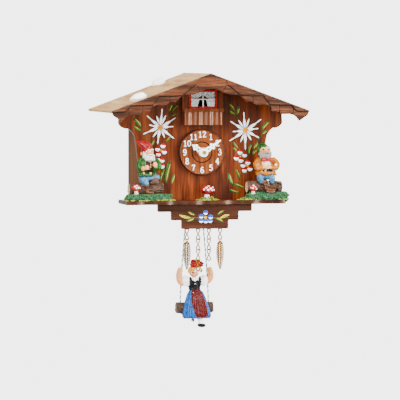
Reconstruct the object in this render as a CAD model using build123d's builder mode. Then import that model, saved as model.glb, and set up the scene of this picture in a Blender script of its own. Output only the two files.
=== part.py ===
from build123d import *

# Miniature Black Forest chalet clock with a battery movement and a swinging doll.
# Millimetres. The origin is the centre of the hanging hole, on the rear face of the back panel.
# +Z is up, +Y points to the wall, and +X is to the right for someone who faces the dial.

import os
from math import atan2, cos, degrees, pi, radians, sin, tan

# ---------------------------------------------------------------- driving dimensions
RIDGE_Z = 24.0              # top of the roof ridge above the hanging hole
ROOF_HALF = 111.0           # ridge to eave, across
ROOF_DROP = 40.8            # ridge to eave, down
ROOF_THICK = 2.4
ROOF_DEPTH = 138.0
BARGE_BASE = 3.5            # bargeboard's ground
BARGE_RELIEF = 1.5          # raised upper row of shingles

BOARD = 4.0                 # side panels, back panel and case floor
CASE_HALF = 65.0
FACADE_Y = -85.8            # front face of the facade
FACADE_THICK = 6.0
FACADE_BACK = FACADE_Y + FACADE_THICK

PLATFORM_TOP = -116.2
PLATFORM_THICK = 4.2
PLATFORM_BOTTOM = PLATFORM_TOP - PLATFORM_THICK
PLATFORM_HALF = 89.8
PLATFORM_FRONT = -112.0
PLATFORM_REAR = -66.0
SCALLOPS = 11               # half waves along the platform's front edge
SCALLOP_DEPTH = 1.5

APRON_FRONT = -105.6
APRON_THICK = 5.0
APRON_STEPS = [(53.2, -128.6), (38.0, -138.0), (26.3, -147.7)]

DIAL_Z = -63.5
DIAL_R = 25.4
DIAL_THICK = 5.0
DIAL_FACE = FACADE_Y - DIAL_THICK
DIAL_CHAMFER = 0.9
GROOVE_OUTER, GROOVE_INNER = 11.9, 10.7
GROOVE_DEPTH = 0.6
NUMERAL_R = 19.8
NUMERAL_HEIGHT = 6.0

HANGER_Y = -96.6            # plane of the chains
WIRE_R = 0.35               # chain wire
EYE_R = 1.9                 # screw eye, centre line
EYE_WIRE = 0.45
CHAIN_TOP = -125.2          # wire of the screw eye that carries a chain
LOOP_LENGTH = 6.2
LOOP_HALF = 1.6
LINK_PLAY = 0.05
CHAIN_X = {"left_outer": -18.6, "left_inner": -5.9, "right_inner": 6.3, "right_outer": 19.1}

SWING_Y = -52.0             # plane of the swing
SWING_Z = -106.0            # axis that the swing turns on
CORD_R = 0.75
CORD_TOP = (6.6, -113.5)
CORD_HAND = (15.7, -195.0)
CORD_SEAT = (16.2, -235.0)
SEAT_R = 6.4
SEAT_Z = -239.3
SEAT_HALF = 21.2

RUNNING = 0.05              # radial clearance of a turning shaft

roof_slope = degrees(atan2(ROOF_DROP, ROOF_HALF))
os.makedirs("parts", exist_ok=True)


def roof_z(x, below=0.0):
    """Height of the roof's top surface at x, or of a plane that far below it."""
    return RIDGE_Z - abs(x) * ROOF_DROP / ROOF_HALF - below / cos(radians(roof_slope))


def save(part, name):
    part.label = name
    export_step(part, f"parts/{name}.step")


def front_plane(y):
    """A sketch plane that faces the viewer, with its origin on the dial's axis."""
    return Plane(origin=(0, y, DIAL_Z), x_dir=(1, 0, 0), z_dir=(0, -1, 0))


def front_slab(y_front, y_back, *corners):
    """A board seen from the front, cut to an outline of (x, z) corners."""
    with BuildPart() as slab:
        with BuildSketch(Plane.XZ.offset(-y_back)):
            with BuildLine():
                Polyline(*corners, close=True)
            make_face()
        extrude(amount=y_back - y_front)
    return slab.part


# ---------------------------------------------------------------- roof
def roof_board(side):
    """One plywood slope, mitred at the ridge and cut square at the eave."""
    lean = radians(roof_slope)
    eave = (ROOF_HALF - ROOF_THICK * sin(lean), roof_z(ROOF_HALF) - ROOF_THICK * cos(lean))
    corners = [(0, RIDGE_Z), (ROOF_HALF, roof_z(ROOF_HALF)), eave, (0, roof_z(0, ROOF_THICK))]
    return front_slab(
        -ROOF_DEPTH + BARGE_BASE + BARGE_RELIEF, 0, *[(side * x, z) for x, z in corners]
    )


save(roof_board(-1), "roof_board_left")
save(roof_board(1), "roof_board_right")

# Lower edge of the bargeboard, from the centre to the eave: a low arch, then shingle ends
# that step down, and a carved foot.
BARGE_EDGE = [
    (4.5, 7.1), (10.7, 5.1), (13.8, 3.0), (20.0, 1.2), (28.6, 0.8), (32.2, 0.1),
    (35.8, -3.1), (40.1, -6.9), (45.8, -6.6), (48.0, -8.7), (51.6, -10.5), (61.0, -10.1),
    (66.1, -12.3), (68.9, -17.2), (76.5, -18.0), (77.7, -20.7), (84.9, -20.7), (88.6, -20.5),
    (93.6, -21.9), (96.9, -24.4), (99.7, -28.2), (109.2, -21.6), (110.9, -17.1),
]
# Lower edge of the raised shingle row.
SHINGLE_EDGE = [
    (17.8, 12.1), (22.5, 8.9), (25.4, 6.4), (32.9, 0.4), (43.7, -0.3), (58.8, -0.3),
    (61.5, -4.5), (66.0, -9.8), (77.0, -10.3), (90.5, -10.8), (93.5, -14.6), (97.5, -18.3),
    (109.6, -18.0),
]


def mirrored_outline(half):
    """An outline that runs from the left eave to the right one."""
    return [(-x, z) for x, z in reversed(half)] + list(half)


barge_back = -ROOF_DEPTH + BARGE_BASE + BARGE_RELIEF
barge_ground = -ROOF_DEPTH + BARGE_RELIEF
eave_tip = (ROOF_HALF, roof_z(ROOF_HALF))
barge_peak = [eave_tip, (0, RIDGE_Z), (-ROOF_HALF, roof_z(ROOF_HALF))]
with BuildPart() as bargeboard:
    with BuildSketch(Plane.XZ.offset(-barge_back)):
        with BuildLine():
            Polyline(*mirrored_outline(BARGE_EDGE), *barge_peak, close=True)
        make_face()
    extrude(amount=BARGE_BASE)
    with BuildSketch(Plane.XZ.offset(-barge_ground)):
        with BuildLine():
            Polyline(*mirrored_outline(SHINGLE_EDGE), *barge_peak, close=True)
        make_face()
    extrude(amount=BARGE_RELIEF)
save(bargeboard.part, "bargeboard")

# Stones that lie on the left slope: x and y.
STONES = [(-79.0, -124.0), (-37.0, -36.0)]
STONE_SIZE = (18.0, 13.0, 9.0)
with BuildPart() as roof_stones:
    for stone_x, stone_y in STONES:
        foot = (stone_x, stone_y, roof_z(stone_x))
        seat = Plane(foot, x_dir=(1, 0, 0), z_dir=(0, 0, 1)).rotated((0, -roof_slope, 0))
        with BuildSketch(seat):
            Ellipse(STONE_SIZE[0] / 2, STONE_SIZE[1] / 2)
        with BuildSketch(seat.offset(STONE_SIZE[2] * 0.45)):
            Ellipse(STONE_SIZE[0] / 2, STONE_SIZE[1] / 2)
        with BuildSketch(seat.offset(STONE_SIZE[2])):
            Ellipse(STONE_SIZE[0] * 0.3, STONE_SIZE[1] * 0.28)
        loft()
save(roof_stones.part, "roof_stones")

# ---------------------------------------------------------------- facade and case
BOSS_R = 4.0                # threaded neck of the movement
with BuildPart() as facade_panel:
    with BuildSketch(Plane.XZ.offset(-FACADE_BACK)):
        with BuildLine():
            for side in (-1, 1):
                Line((0, roof_z(0, ROOF_THICK)), (side * 92, roof_z(92, ROOF_THICK)))
                Line((side * 92, roof_z(92, ROOF_THICK)), (side * 93, -31))
                ThreePointArc((side * 93, -31), (side * 90, -35), (side * 82.5, -37))
                ThreePointArc((side * 82.5, -37), (side * 78, -41), (side * 75, -46))
                Line((side * 75, -46), (side * 74, -52.5))
                Line((side * 74, -52.5), (side * 66, PLATFORM_TOP))
            Line((-66, PLATFORM_TOP), (66, PLATFORM_TOP))
        make_face()
    extrude(amount=FACADE_THICK)
    with BuildSketch(front_plane(FACADE_BACK)):
        Circle(BOSS_R + 0.1)
    extrude(amount=FACADE_THICK, mode=Mode.SUBTRACT)
save(facade_panel.part, "facade_panel")

CASE_INNER = CASE_HALF - BOARD


def side_panel(side):
    corners = [
        (CASE_INNER, PLATFORM_TOP), (CASE_HALF, PLATFORM_TOP),
        (CASE_HALF, roof_z(CASE_HALF, ROOF_THICK)), (CASE_INNER, roof_z(CASE_INNER, ROOF_THICK)),
    ]
    return front_slab(FACADE_BACK, 0, *[(side * x, z) for x, z in corners])


save(side_panel(-1), "left_side_panel")
save(side_panel(1), "right_side_panel")

HANG_R = 3.5
ACCESS_HALF = 30.0
ACCESS_TOP, ACCESS_BOTTOM = -38.0, -100.0
SPEAKER_X, SPEAKER_Z = 38.0, -20.0
SOUND_HOLE_R, SOUND_HOLE_RING = 1.6, 6.5
SCREWS = [(x, z) for x in (-58.0, 58.0) for z in (-108.0, -16.0)]
SCREW_R = 1.2
SWITCH_X, SWITCH_Z = 44.5, -109.5
SWITCH_SLOT = (7.0, 3.0)
with BuildPart() as back_panel:
    with BuildSketch(Plane.XZ):
        with BuildLine():
            Polyline(
                (-CASE_INNER, PLATFORM_TOP), (CASE_INNER, PLATFORM_TOP),
                (CASE_INNER, roof_z(CASE_INNER, ROOF_THICK)), (0, roof_z(0, ROOF_THICK)),
                (-CASE_INNER, roof_z(CASE_INNER, ROOF_THICK)), close=True,
            )
        make_face()
        Circle(HANG_R, mode=Mode.SUBTRACT)
        with Locations((0, (ACCESS_TOP + ACCESS_BOTTOM) / 2)):
            RectangleRounded(2 * ACCESS_HALF, ACCESS_TOP - ACCESS_BOTTOM, 3, mode=Mode.SUBTRACT)
        with Locations((SPEAKER_X, SPEAKER_Z)):
            Circle(SOUND_HOLE_R, mode=Mode.SUBTRACT)
            with PolarLocations(SOUND_HOLE_RING, 6):
                Circle(SOUND_HOLE_R, mode=Mode.SUBTRACT)
        with Locations((SWITCH_X, SWITCH_Z)):
            Rectangle(*SWITCH_SLOT, mode=Mode.SUBTRACT)
        with Locations(*SCREWS):
            Circle(SCREW_R, mode=Mode.SUBTRACT)
    extrude(amount=BOARD)
save(back_panel.part, "back_panel")

BATTEN = 6.0
with BuildPart() as corner_battens:
    for side in (-1, 1):
        with BuildSketch(Plane.XY.offset(PLATFORM_TOP)):
            with Locations((side * (CASE_INNER - BATTEN / 2), -BOARD - BATTEN / 2)):
                Rectangle(BATTEN, BATTEN)
        extrude(amount=-12.0 - PLATFORM_TOP)
    with Locations(*[(x, -BOARD - BATTEN / 2, z) for x, z in SCREWS]):
        Cylinder(SCREW_R, BATTEN, rotation=(90, 0, 0), mode=Mode.SUBTRACT)
save(corner_battens.part, "corner_battens")

HEAD_R, HEAD_HEIGHT = 2.4, 1.0
with BuildPart() as back_panel_screws:
    for x, z in SCREWS:
        with BuildSketch(Plane((x, -0.1, z), x_dir=(1, 0, 0), z_dir=(0, -1, 0))):
            Circle(SCREW_R)
        extrude(amount=9.0)
with BuildPart() as screw_heads:
    for x, z in SCREWS:
        with BuildSketch(Plane((x, 0, z), x_dir=(1, 0, 0), z_dir=(0, -1, 0))):
            Circle(SCREW_R)
            Rectangle(2 * SCREW_R, 0.5, mode=Mode.SUBTRACT)
        extrude(amount=0.1)
with BuildPart() as screws:
    add(back_panel_screws.part)
    add(screw_heads.part)
save(screws.part, "back_panel_screws")

# ---------------------------------------------------------------- figure platform, floor, apron
EYE_HOLE_R = 0.6
hook_places = [(x, HANGER_Y) for x in CHAIN_X.values()]
wave_step = 2 * PLATFORM_HALF / SCALLOPS
with BuildPart() as figure_platform:
    with BuildSketch(Plane.XY.offset(PLATFORM_BOTTOM)):
        with BuildLine():
            for half_wave in range(SCALLOPS):
                x0 = -PLATFORM_HALF + half_wave * wave_step
                bulge = SCALLOP_DEPTH if half_wave % 2 else -SCALLOP_DEPTH
                ThreePointArc(
                    (x0, PLATFORM_FRONT),
                    (x0 + wave_step / 2, PLATFORM_FRONT + bulge),
                    (x0 + wave_step, PLATFORM_FRONT),
                )
            Polyline(
                (PLATFORM_HALF, PLATFORM_FRONT), (PLATFORM_HALF, PLATFORM_REAR),
                (-PLATFORM_HALF, PLATFORM_REAR), (-PLATFORM_HALF, PLATFORM_FRONT),
            )
        make_face()
    extrude(amount=PLATFORM_THICK)
    with BuildSketch(Plane.XY.offset(PLATFORM_BOTTOM)):
        with Locations(*hook_places):
            Circle(EYE_HOLE_R)
    extrude(amount=3.2, mode=Mode.SUBTRACT)
save(figure_platform.part, "figure_platform")

FLOOR_SLOT = (26.0, 10.0)
with BuildPart() as case_floor:
    with BuildSketch(Plane.XY.offset(PLATFORM_BOTTOM)):
        with Locations((0, PLATFORM_REAR / 2)):
            Rectangle(2 * CASE_HALF, -PLATFORM_REAR)
        with Locations((0, SWING_Y)):
            RectangleRounded(*FLOOR_SLOT, 2, mode=Mode.SUBTRACT)
    extrude(amount=PLATFORM_THICK)
save(case_floor.part, "case_floor")

apron_half = [(APRON_STEPS[0][0], PLATFORM_BOTTOM)]
for step, (half, bottom) in enumerate(APRON_STEPS):
    inner = APRON_STEPS[step + 1][0] if step + 1 < len(APRON_STEPS) else 0
    apron_half += [(half, bottom), (inner, bottom)]
apron_half = apron_half[:-1]
with BuildPart() as stepped_apron:
    with BuildSketch(Plane.XZ.offset(-APRON_FRONT - APRON_THICK)):
        with BuildLine():
            Polyline(*[(-x, z) for x, z in apron_half], *reversed(apron_half), close=True)
        make_face()
    extrude(amount=APRON_THICK)
    fillet(stepped_apron.edges().filter_by(Axis.Y).group_by(Axis.Z)[:-1], radius=1.2)
save(stepped_apron.part, "stepped_apron")

# ---------------------------------------------------------------- window, balcony
BAY_HALF, BAY_FRONT, BAY_TOP, SILL_Z = 23.0, -94.0, 12.0, -15.0
save(
    front_slab(
        BAY_FRONT, FACADE_Y,
        (-BAY_HALF, SILL_Z), (BAY_HALF, SILL_Z), (BAY_HALF, BAY_TOP), (-BAY_HALF, BAY_TOP),
    ),
    "window_bay",
)

WINDOW = (31.2, 20.6)
WINDOW_Z = -4.6
CURTAIN_THICK, FRAME_THICK = 0.4, 1.4
with BuildPart() as curtain_plate:
    with BuildSketch(Plane.XZ.offset(-BAY_FRONT)):
        with Locations((0, WINDOW_Z)):
            Rectangle(*WINDOW)
    extrude(amount=CURTAIN_THICK)
save(curtain_plate.part, "curtain_plate")

frame_back = BAY_FRONT - CURTAIN_THICK
FRAME_BAR, MUNTIN = 2.2, 1.1
opening = (WINDOW[0] - 2 * FRAME_BAR, WINDOW[1] - 2 * FRAME_BAR)
with BuildPart() as window_frame:
    with BuildSketch(Plane.XZ.offset(-frame_back)):
        with Locations((0, WINDOW_Z)):
            Rectangle(*WINDOW)
            Rectangle(*opening, mode=Mode.SUBTRACT)
    extrude(amount=FRAME_THICK)
    with BuildSketch(Plane.XZ.offset(-frame_back)):
        with Locations((0, WINDOW_Z)):
            Rectangle(opening[0], MUNTIN)
            Rectangle(MUNTIN, opening[1])
    extrude(amount=FRAME_THICK / 2)
save(window_frame.part, "window_frame")

BALCONY_FRONT, RAIL_BOTTOM, SLAT_BOTTOM = -99.0, -18.7, -33.1
SLAT_HALF, SLAT_FRONT, FLUTES = 21.3, -97.8, 7
FLUTE_DEPTH = 0.9
flute_step = 2 * SLAT_HALF / FLUTES
with BuildPart() as balcony_rail:
    with BuildSketch(Plane.XY.offset(RAIL_BOTTOM)):
        with Locations((0, (BALCONY_FRONT + FACADE_Y) / 2)):
            Rectangle(2 * BAY_HALF, FACADE_Y - BALCONY_FRONT)
    extrude(amount=SILL_Z - RAIL_BOTTOM)
    with BuildSketch(Plane.XY.offset(SLAT_BOTTOM)):
        with BuildLine():
            for flute in range(FLUTES):
                x0 = -SLAT_HALF + flute * flute_step
                bulge = FLUTE_DEPTH if flute % 2 else -FLUTE_DEPTH
                ThreePointArc(
                    (x0, SLAT_FRONT), (x0 + flute_step / 2, SLAT_FRONT + bulge), (x0 + flute_step, SLAT_FRONT)
                )
            Polyline(
                (SLAT_HALF, SLAT_FRONT), (SLAT_HALF, FACADE_Y), (-SLAT_HALF, FACADE_Y), (-SLAT_HALF, SLAT_FRONT)
            )
        make_face()
    extrude(amount=RAIL_BOTTOM - SLAT_BOTTOM)
save(balcony_rail.part, "balcony_rail")

# ---------------------------------------------------------------- dial
with BuildPart() as dial_disc:
    with BuildSketch(front_plane(FACADE_Y)):
        Circle(DIAL_R)
        Circle(BOSS_R + 0.1, mode=Mode.SUBTRACT)
    extrude(amount=DIAL_THICK)
    chamfer(dial_disc.faces().sort_by(Axis.Y)[0].outer_wire().edges(), length=DIAL_CHAMFER)
    with BuildSketch(front_plane(DIAL_FACE)):
        Circle(GROOVE_OUTER)
        Circle(GROOVE_INNER, mode=Mode.SUBTRACT)
    extrude(amount=-GROOVE_DEPTH, mode=Mode.SUBTRACT)
save(dial_disc.part, "dial_disc")

# Each digit is a few strokes on a grid of half widths and half heights.
STROKES = {
    "0": [(-1, 1), (1, 1), (1, -1), (-1, -1), (-1, 1)],
    "1": [(0, 1), (0, -1)],
    "2": [(-1, 1), (1, 1), (1, 0.1), (-1, -1), (1, -1)],
    "3": [(-1, 1), (1, 1), (0, 0.1), (1, -0.2), (1, -1), (-1, -1)],
    "4": [(0.6, -1), (0.6, 1), (-1, -0.4), (1, -0.4)],
    "5": [(1, 1), (-1, 1), (-1, 0.1), (1, 0), (1, -1), (-1, -1)],
    "6": [(1, 1), (-1, 0.4), (-1, -1), (1, -1), (1, 0), (-1, 0)],
    "7": [(-1, 1), (1, 1), (-0.3, -1)],
    "8": [(-1, 0), (1, 0), (1, 1), (-1, 1), (-1, -1), (1, -1), (1, 0)],
    "9": [(1, 0), (-1, 0), (-1, 1), (1, 1), (1, -0.4), (-1, -1)],
}
NUMERAL_THICK = 0.4
STROKE = 0.9
with BuildPart() as dial_numerals:
    for hour in range(1, 13):
        turn = radians(90 - 30 * hour)
        centre_x, centre_z = NUMERAL_R * cos(turn), NUMERAL_R * sin(turn)
        digits = str(hour)
        with BuildSketch(front_plane(DIAL_FACE)):
            for place, digit in enumerate(digits):
                shift = (place - (len(digits) - 1) / 2) * 3.4
                half_w, half_h = 1.1, (NUMERAL_HEIGHT - STROKE) / 2
                points = [
                    (centre_x + shift + u * half_w, centre_z + v * half_h) for u, v in STROKES[digit]
                ]
                for start, end in zip(points, points[1:]):
                    with BuildLine() as pen:
                        Line(start, end)
                    trace(pen.line, line_width=STROKE)
        extrude(amount=NUMERAL_THICK)
save(dial_numerals.part, "dial_numerals")

# ---------------------------------------------------------------- movement
HOUR_PIPE_R, ARBOR_R = 2.45, 1.5
MOVEMENT_HALF = 28.0
MOVEMENT_TOP, MOVEMENT_BOTTOM, BAY_DIVIDER = -41.5, -97.5, -81.1
WALL = 1.2
SHELL_SPLIT, SHELL_REAR = -71.8, -63.8
BAY_REAR = -64.3
NECK_FRONT = -93.4
WORKS_OFFSET = 7.5          # dial axis to setting axis
setting_z = DIAL_Z - WORKS_OFFSET


def block(x_half, z_low, z_high, y_front, y_back, mode=Mode.ADD, x_mid=0.0):
    """A square-cornered block, for use inside a part that is being built."""
    with Locations((x_mid, (y_front + y_back) / 2, (z_low + z_high) / 2)):
        Box(2 * x_half, y_back - y_front, z_high - z_low, mode=mode)


def rod(radius, y_front, y_back, x=0.0, z=DIAL_Z, mode=Mode.ADD):
    """A round bar along Y, for use inside a part that is being built."""
    with Locations((x, (y_front + y_back) / 2, z)):
        Cylinder(radius, y_back - y_front, rotation=(90, 0, 0), mode=mode)


with BuildPart() as movement_front_shell:
    block(MOVEMENT_HALF, MOVEMENT_BOTTOM, MOVEMENT_TOP, FACADE_BACK, SHELL_SPLIT)
    block(MOVEMENT_HALF, MOVEMENT_BOTTOM, BAY_DIVIDER, SHELL_SPLIT, BAY_REAR)
    block(
        MOVEMENT_HALF - WALL, BAY_DIVIDER + WALL, MOVEMENT_TOP - WALL,
        FACADE_BACK + WALL, SHELL_SPLIT, Mode.SUBTRACT,
    )
    block(
        MOVEMENT_HALF - WALL, MOVEMENT_BOTTOM + WALL, BAY_DIVIDER - WALL,
        FACADE_BACK + WALL, BAY_REAR, Mode.SUBTRACT,
    )
    rod(BOSS_R, NECK_FRONT, FACADE_BACK)
    rod(HOUR_PIPE_R + RUNNING, NECK_FRONT, FACADE_BACK + WALL, mode=Mode.SUBTRACT)
    rod(0.75 + RUNNING, FACADE_BACK + 0.5, FACADE_BACK + WALL, z=setting_z, mode=Mode.SUBTRACT)
save(movement_front_shell.part, "movement_front_shell")

with BuildPart() as movement_rear_shell:
    block(MOVEMENT_HALF, BAY_DIVIDER, MOVEMENT_TOP, SHELL_SPLIT, SHELL_REAR)
    block(
        MOVEMENT_HALF - WALL, BAY_DIVIDER + WALL, MOVEMENT_TOP - WALL,
        SHELL_SPLIT, SHELL_REAR - WALL, Mode.SUBTRACT,
    )
    rod(3.2, -68.5, SHELL_REAR - WALL)
    rod(ARBOR_R + RUNNING, -68.5, SHELL_REAR - WALL, mode=Mode.SUBTRACT)
    rod(0.75 + RUNNING, SHELL_REAR - WALL, SHELL_REAR, z=setting_z, mode=Mode.SUBTRACT)
save(movement_rear_shell.part, "movement_rear_shell")

with BuildPart() as dial_nut:
    with BuildSketch(front_plane(DIAL_FACE)):
        RegularPolygon(6.4, 6)
        Circle(BOSS_R, mode=Mode.SUBTRACT)
    extrude(amount=2.3)
save(dial_nut.part, "dial_nut")


def gear_face(plane, teeth, module, first_tooth, bore=0.0):
    """A spur gear's outline: straight-flanked teeth, thinned a little for backlash."""
    pitch_r = teeth * module / 2
    pitch_angle = 2 * pi / teeth
    tooth = [
        (pitch_r - 1.2 * module, -0.36), (pitch_r + 0.8 * module, -0.13),
        (pitch_r + 0.8 * module, 0.13), (pitch_r - 1.2 * module, 0.36),
    ]
    points = []
    for index in range(teeth):
        middle = radians(first_tooth) + index * pitch_angle
        points += [
            (r * cos(middle + share * pitch_angle), r * sin(middle + share * pitch_angle))
            for r, share in tooth
        ]
    with BuildSketch(plane) as outline:
        with BuildLine():
            Polyline(*points, close=True)
        make_face()
        if bore:
            Circle(bore, mode=Mode.SUBTRACT)
    return outline.sketch


FAST_MODULE, SLOW_MODULE = 0.3125, 0.25
CANNON_TEETH, SETTING_TEETH, LEAF_TEETH, HOUR_TEETH = 12, 36, 12, 48
setting_plane = Plane(origin=(0, 0, setting_z), x_dir=(1, 0, 0), z_dir=(0, -1, 0))

with BuildPart() as minute_arbor:
    rod(ARBOR_R, -102.0, -65.2)
    extrude(gear_face(front_plane(-73.1), CANNON_TEETH, FAST_MODULE, -90), amount=1.5)
save(minute_arbor.part, "minute_arbor")

with BuildPart() as hour_wheel:
    extrude(
        gear_face(front_plane(-76.4), HOUR_TEETH, SLOW_MODULE, -90, ARBOR_R + RUNNING), amount=1.0
    )
    rod(HOUR_PIPE_R, -95.2, -76.4)
    rod(ARBOR_R + RUNNING, -95.2, -76.4, mode=Mode.SUBTRACT)
save(hour_wheel.part, "hour_wheel")

with BuildPart() as motion_wheel:
    extrude(gear_face(setting_plane.offset(73.1), SETTING_TEETH, FAST_MODULE, 85), amount=1.5)
    extrude(gear_face(setting_plane.offset(74.6), LEAF_TEETH, SLOW_MODULE, 75), amount=3.0)
    rod(0.75, -79.2, -60.0, z=setting_z)
save(motion_wheel.part, "motion_wheel")

KNOB_R = 6.0
with BuildPart() as setting_knob:
    with BuildSketch(setting_plane.offset(57.0)):
        Circle(KNOB_R)
        with PolarLocations(KNOB_R + 0.3, 18):
            Circle(0.7, mode=Mode.SUBTRACT)
    extrude(amount=5.5)
    rod(0.75, -62.5, -60.0, z=setting_z, mode=Mode.SUBTRACT)
save(setting_knob.part, "setting_knob")

with BuildPart() as movement_circuit_board:
    block(8.0, -79.0, -45.0, -73.2, -72.2, x_mid=-17.5)
save(movement_circuit_board.part, "movement_circuit_board")

with BuildPart() as stepper_motor:
    block(7.0, -78.0, -46.0, -76.0, -75.0, x_mid=18.0)
    block(3.0, -72.0, -52.0, -76.0, -75.0, Mode.SUBTRACT, x_mid=18.0)
    block(3.4, -70.0, -54.0, -78.0, -73.0, x_mid=22.9)
save(stepper_motor.part, "stepper_motor")

CELL_R, CELL_LENGTH = 7.0, 49.0


def cell(y, z):
    """An AA cell that lies along X, with its positive cap to the right."""
    with BuildPart() as body:
        with Locations((-0.6, y, z)):
            Cylinder(CELL_R, CELL_LENGTH, rotation=(0, 90, 0))
        with Locations((-0.6 + CELL_LENGTH / 2 + 0.6, y, z)):
            Cylinder(2.7, 1.2, rotation=(0, 90, 0))
    return body.part


def cell_contacts(y, z, reach):
    """A flat positive contact and a negative one with its conical spring."""
    with BuildPart() as pair:
        with Locations((reach - 0.2, y, z), (-reach + 0.2, y, z)):
            Box(0.4, 9.0, 9.0)
        with Locations((-reach + 0.9, y, z)):
            Cone(3.0, 2.0, 1.0, rotation=(0, 90, 0))
    return pair.part


movement_cell_z = (MOVEMENT_BOTTOM + BAY_DIVIDER) / 2
movement_cell_y = -71.4

# ---------------------------------------------------------------- hands
HOUR_ANGLE, MINUTE_ANGLE = -55.5, 54.0      # clockwise from twelve


def hand_plane(y, clockwise):
    """A sketch plane on the dial's axis whose own Y runs along the hand."""
    turn = radians(clockwise)
    return Plane(origin=(0, y, DIAL_Z), x_dir=(cos(turn), 0, -sin(turn)), z_dir=(0, -1, 0))


def carved_hand(plane, bore, length, eye, leaf):
    """A pierced hand: hub, oval eye, cross leaf with a hole, and a tapered tip."""
    hub_r = 4.6
    with BuildPart() as hand:
        with BuildSketch(plane):
            Circle(hub_r)
            with Locations((0, eye)):
                Ellipse(2.7, 3.6)
            with Locations((0, leaf)):
                RectangleRounded(7.4, 2.6, 1.2)
                RectangleRounded(4.2, 5.4, 1.2)
            with BuildLine():
                Polyline((-1.5, leaf), (-0.7, length), (0.7, length), (1.5, leaf), close=True)
            make_face()
            Circle(bore, mode=Mode.SUBTRACT)
            with Locations((0, eye + 0.5)):
                Ellipse(0.9, 1.4, mode=Mode.SUBTRACT)
            with Locations((0, leaf)):
                Circle(0.7, mode=Mode.SUBTRACT)
        extrude(amount=0.8)
    return hand.part


save(carved_hand(hand_plane(-94.4, HOUR_ANGLE), HOUR_PIPE_R, 14.8, 5.8, 10.2), "hour_hand")
save(carved_hand(hand_plane(-100.2, MINUTE_ANGLE), ARBOR_R, 23.2, 6.0, 11.6), "minute_hand")

with BuildPart() as hand_nut:
    with BuildSketch(front_plane(-101.0)):
        RegularPolygon(2.4, 6)
        Circle(ARBOR_R, mode=Mode.SUBTRACT)
    extrude(amount=1.4)
save(hand_nut.part, "hand_nut")

# ---------------------------------------------------------------- sound module and its switch
SPEAKER_R = 14.0
BASKET_R, CONE_MOUTH_R = 13.0, 11.0
FLANGE_THICK, BASKET_DEPTH, MAGNET_THICK = 1.5, 6.0, 4.0
MAGNET_R = 8.0
PAPER = 0.6                 # rim of the paper cone
speaker_plane = Plane(origin=(SPEAKER_X, -BOARD, SPEAKER_Z), x_dir=(1, 0, 0), z_dir=(0, -1, 0))
with BuildPart() as speaker_frame:
    with BuildSketch(speaker_plane):
        Circle(SPEAKER_R)
        Circle(CONE_MOUTH_R, mode=Mode.SUBTRACT)
    extrude(amount=FLANGE_THICK)
    with BuildSketch(speaker_plane.offset(FLANGE_THICK)):
        Circle(BASKET_R)
        Circle(CONE_MOUTH_R, mode=Mode.SUBTRACT)
    extrude(amount=BASKET_DEPTH - FLANGE_THICK)
    with BuildSketch(speaker_plane.offset(BASKET_DEPTH)):
        Circle(BASKET_R)
    extrude(amount=1.0)
    with BuildSketch(speaker_plane.offset(BASKET_DEPTH + 1.0)):
        Circle(MAGNET_R)
    extrude(amount=MAGNET_THICK)
save(speaker_frame.part, "speaker_frame")

with BuildPart() as speaker_cone:
    with BuildSketch(speaker_plane.offset(1.2)):
        Circle(CONE_MOUTH_R - 0.1)
    with BuildSketch(speaker_plane.offset(5.0)):
        Circle(4.0)
    loft()
    with BuildSketch(speaker_plane.offset(1.2)):
        Circle(CONE_MOUTH_R - 0.1 - PAPER)
    with BuildSketch(speaker_plane.offset(4.5)):
        Circle(3.6)
    loft(mode=Mode.SUBTRACT)
save(speaker_cone.part, "speaker_cone")

with BuildPart() as sound_board:
    block(16.0, -34.0, -12.0, -9.2, -8.0, x_mid=-36.0)
    for post_x, post_z in [(-50, -32), (-50, -14), (-22, -32), (-22, -14)]:
        rod(1.4, -8.0, -BOARD, x=post_x, z=post_z)
save(sound_board.part, "sound_module_board")

switch_lip = 1.3
with BuildPart() as sound_switch:
    block(6.0, SWITCH_Z - 3.2, SWITCH_Z + 3.2, -8.5, -BOARD, x_mid=SWITCH_X)
    block(3.5, SWITCH_Z - 1.7, SWITCH_Z + 1.7, -6.8, -BOARD, Mode.SUBTRACT, x_mid=SWITCH_X)
save(sound_switch.part, "sound_switch")

SWITCH_TRAVEL = 2.4
with BuildPart() as switch_slider:
    block(1.9, SWITCH_Z - 1.3, SWITCH_Z + 1.3, -6.5, -4.5, x_mid=SWITCH_X - SWITCH_TRAVEL / 2)
    block(1.2, SWITCH_Z - 1.2, SWITCH_Z + 1.2, -4.5, -0.5, x_mid=SWITCH_X - SWITCH_TRAVEL / 2)
save(switch_slider.part, "switch_slider")

# ---------------------------------------------------------------- swing drive
POST_X = 14.0
BRIDGE_BOTTOM = -91.0
with BuildPart() as swing_drive_frame:
    for side in (-1, 1):
        block(1.5, PLATFORM_TOP, BRIDGE_BOTTOM + 3, SWING_Y - 4, SWING_Y + 4, x_mid=side * POST_X)
        block(5.0, PLATFORM_TOP, PLATFORM_TOP + 1.5, SWING_Y - 4, SWING_Y + 4, x_mid=side * (POST_X + 5))
    block(POST_X, BRIDGE_BOTTOM, BRIDGE_BOTTOM + 3, SWING_Y - 4, SWING_Y + 4)
    with Locations((0, SWING_Y, SWING_Z)):
        Cylinder(1.0 + RUNNING, 40, rotation=(0, 90, 0), mode=Mode.SUBTRACT)
save(swing_drive_frame.part, "swing_drive_frame")

with BuildPart() as drive_coil:
    with BuildSketch(Plane(origin=(0, SWING_Y, BRIDGE_BOTTOM + 3))):
        Circle(6.0)
        Circle(2.0, mode=Mode.SUBTRACT)
    extrude(amount=6.0)
save(drive_coil.part, "drive_coil")

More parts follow.
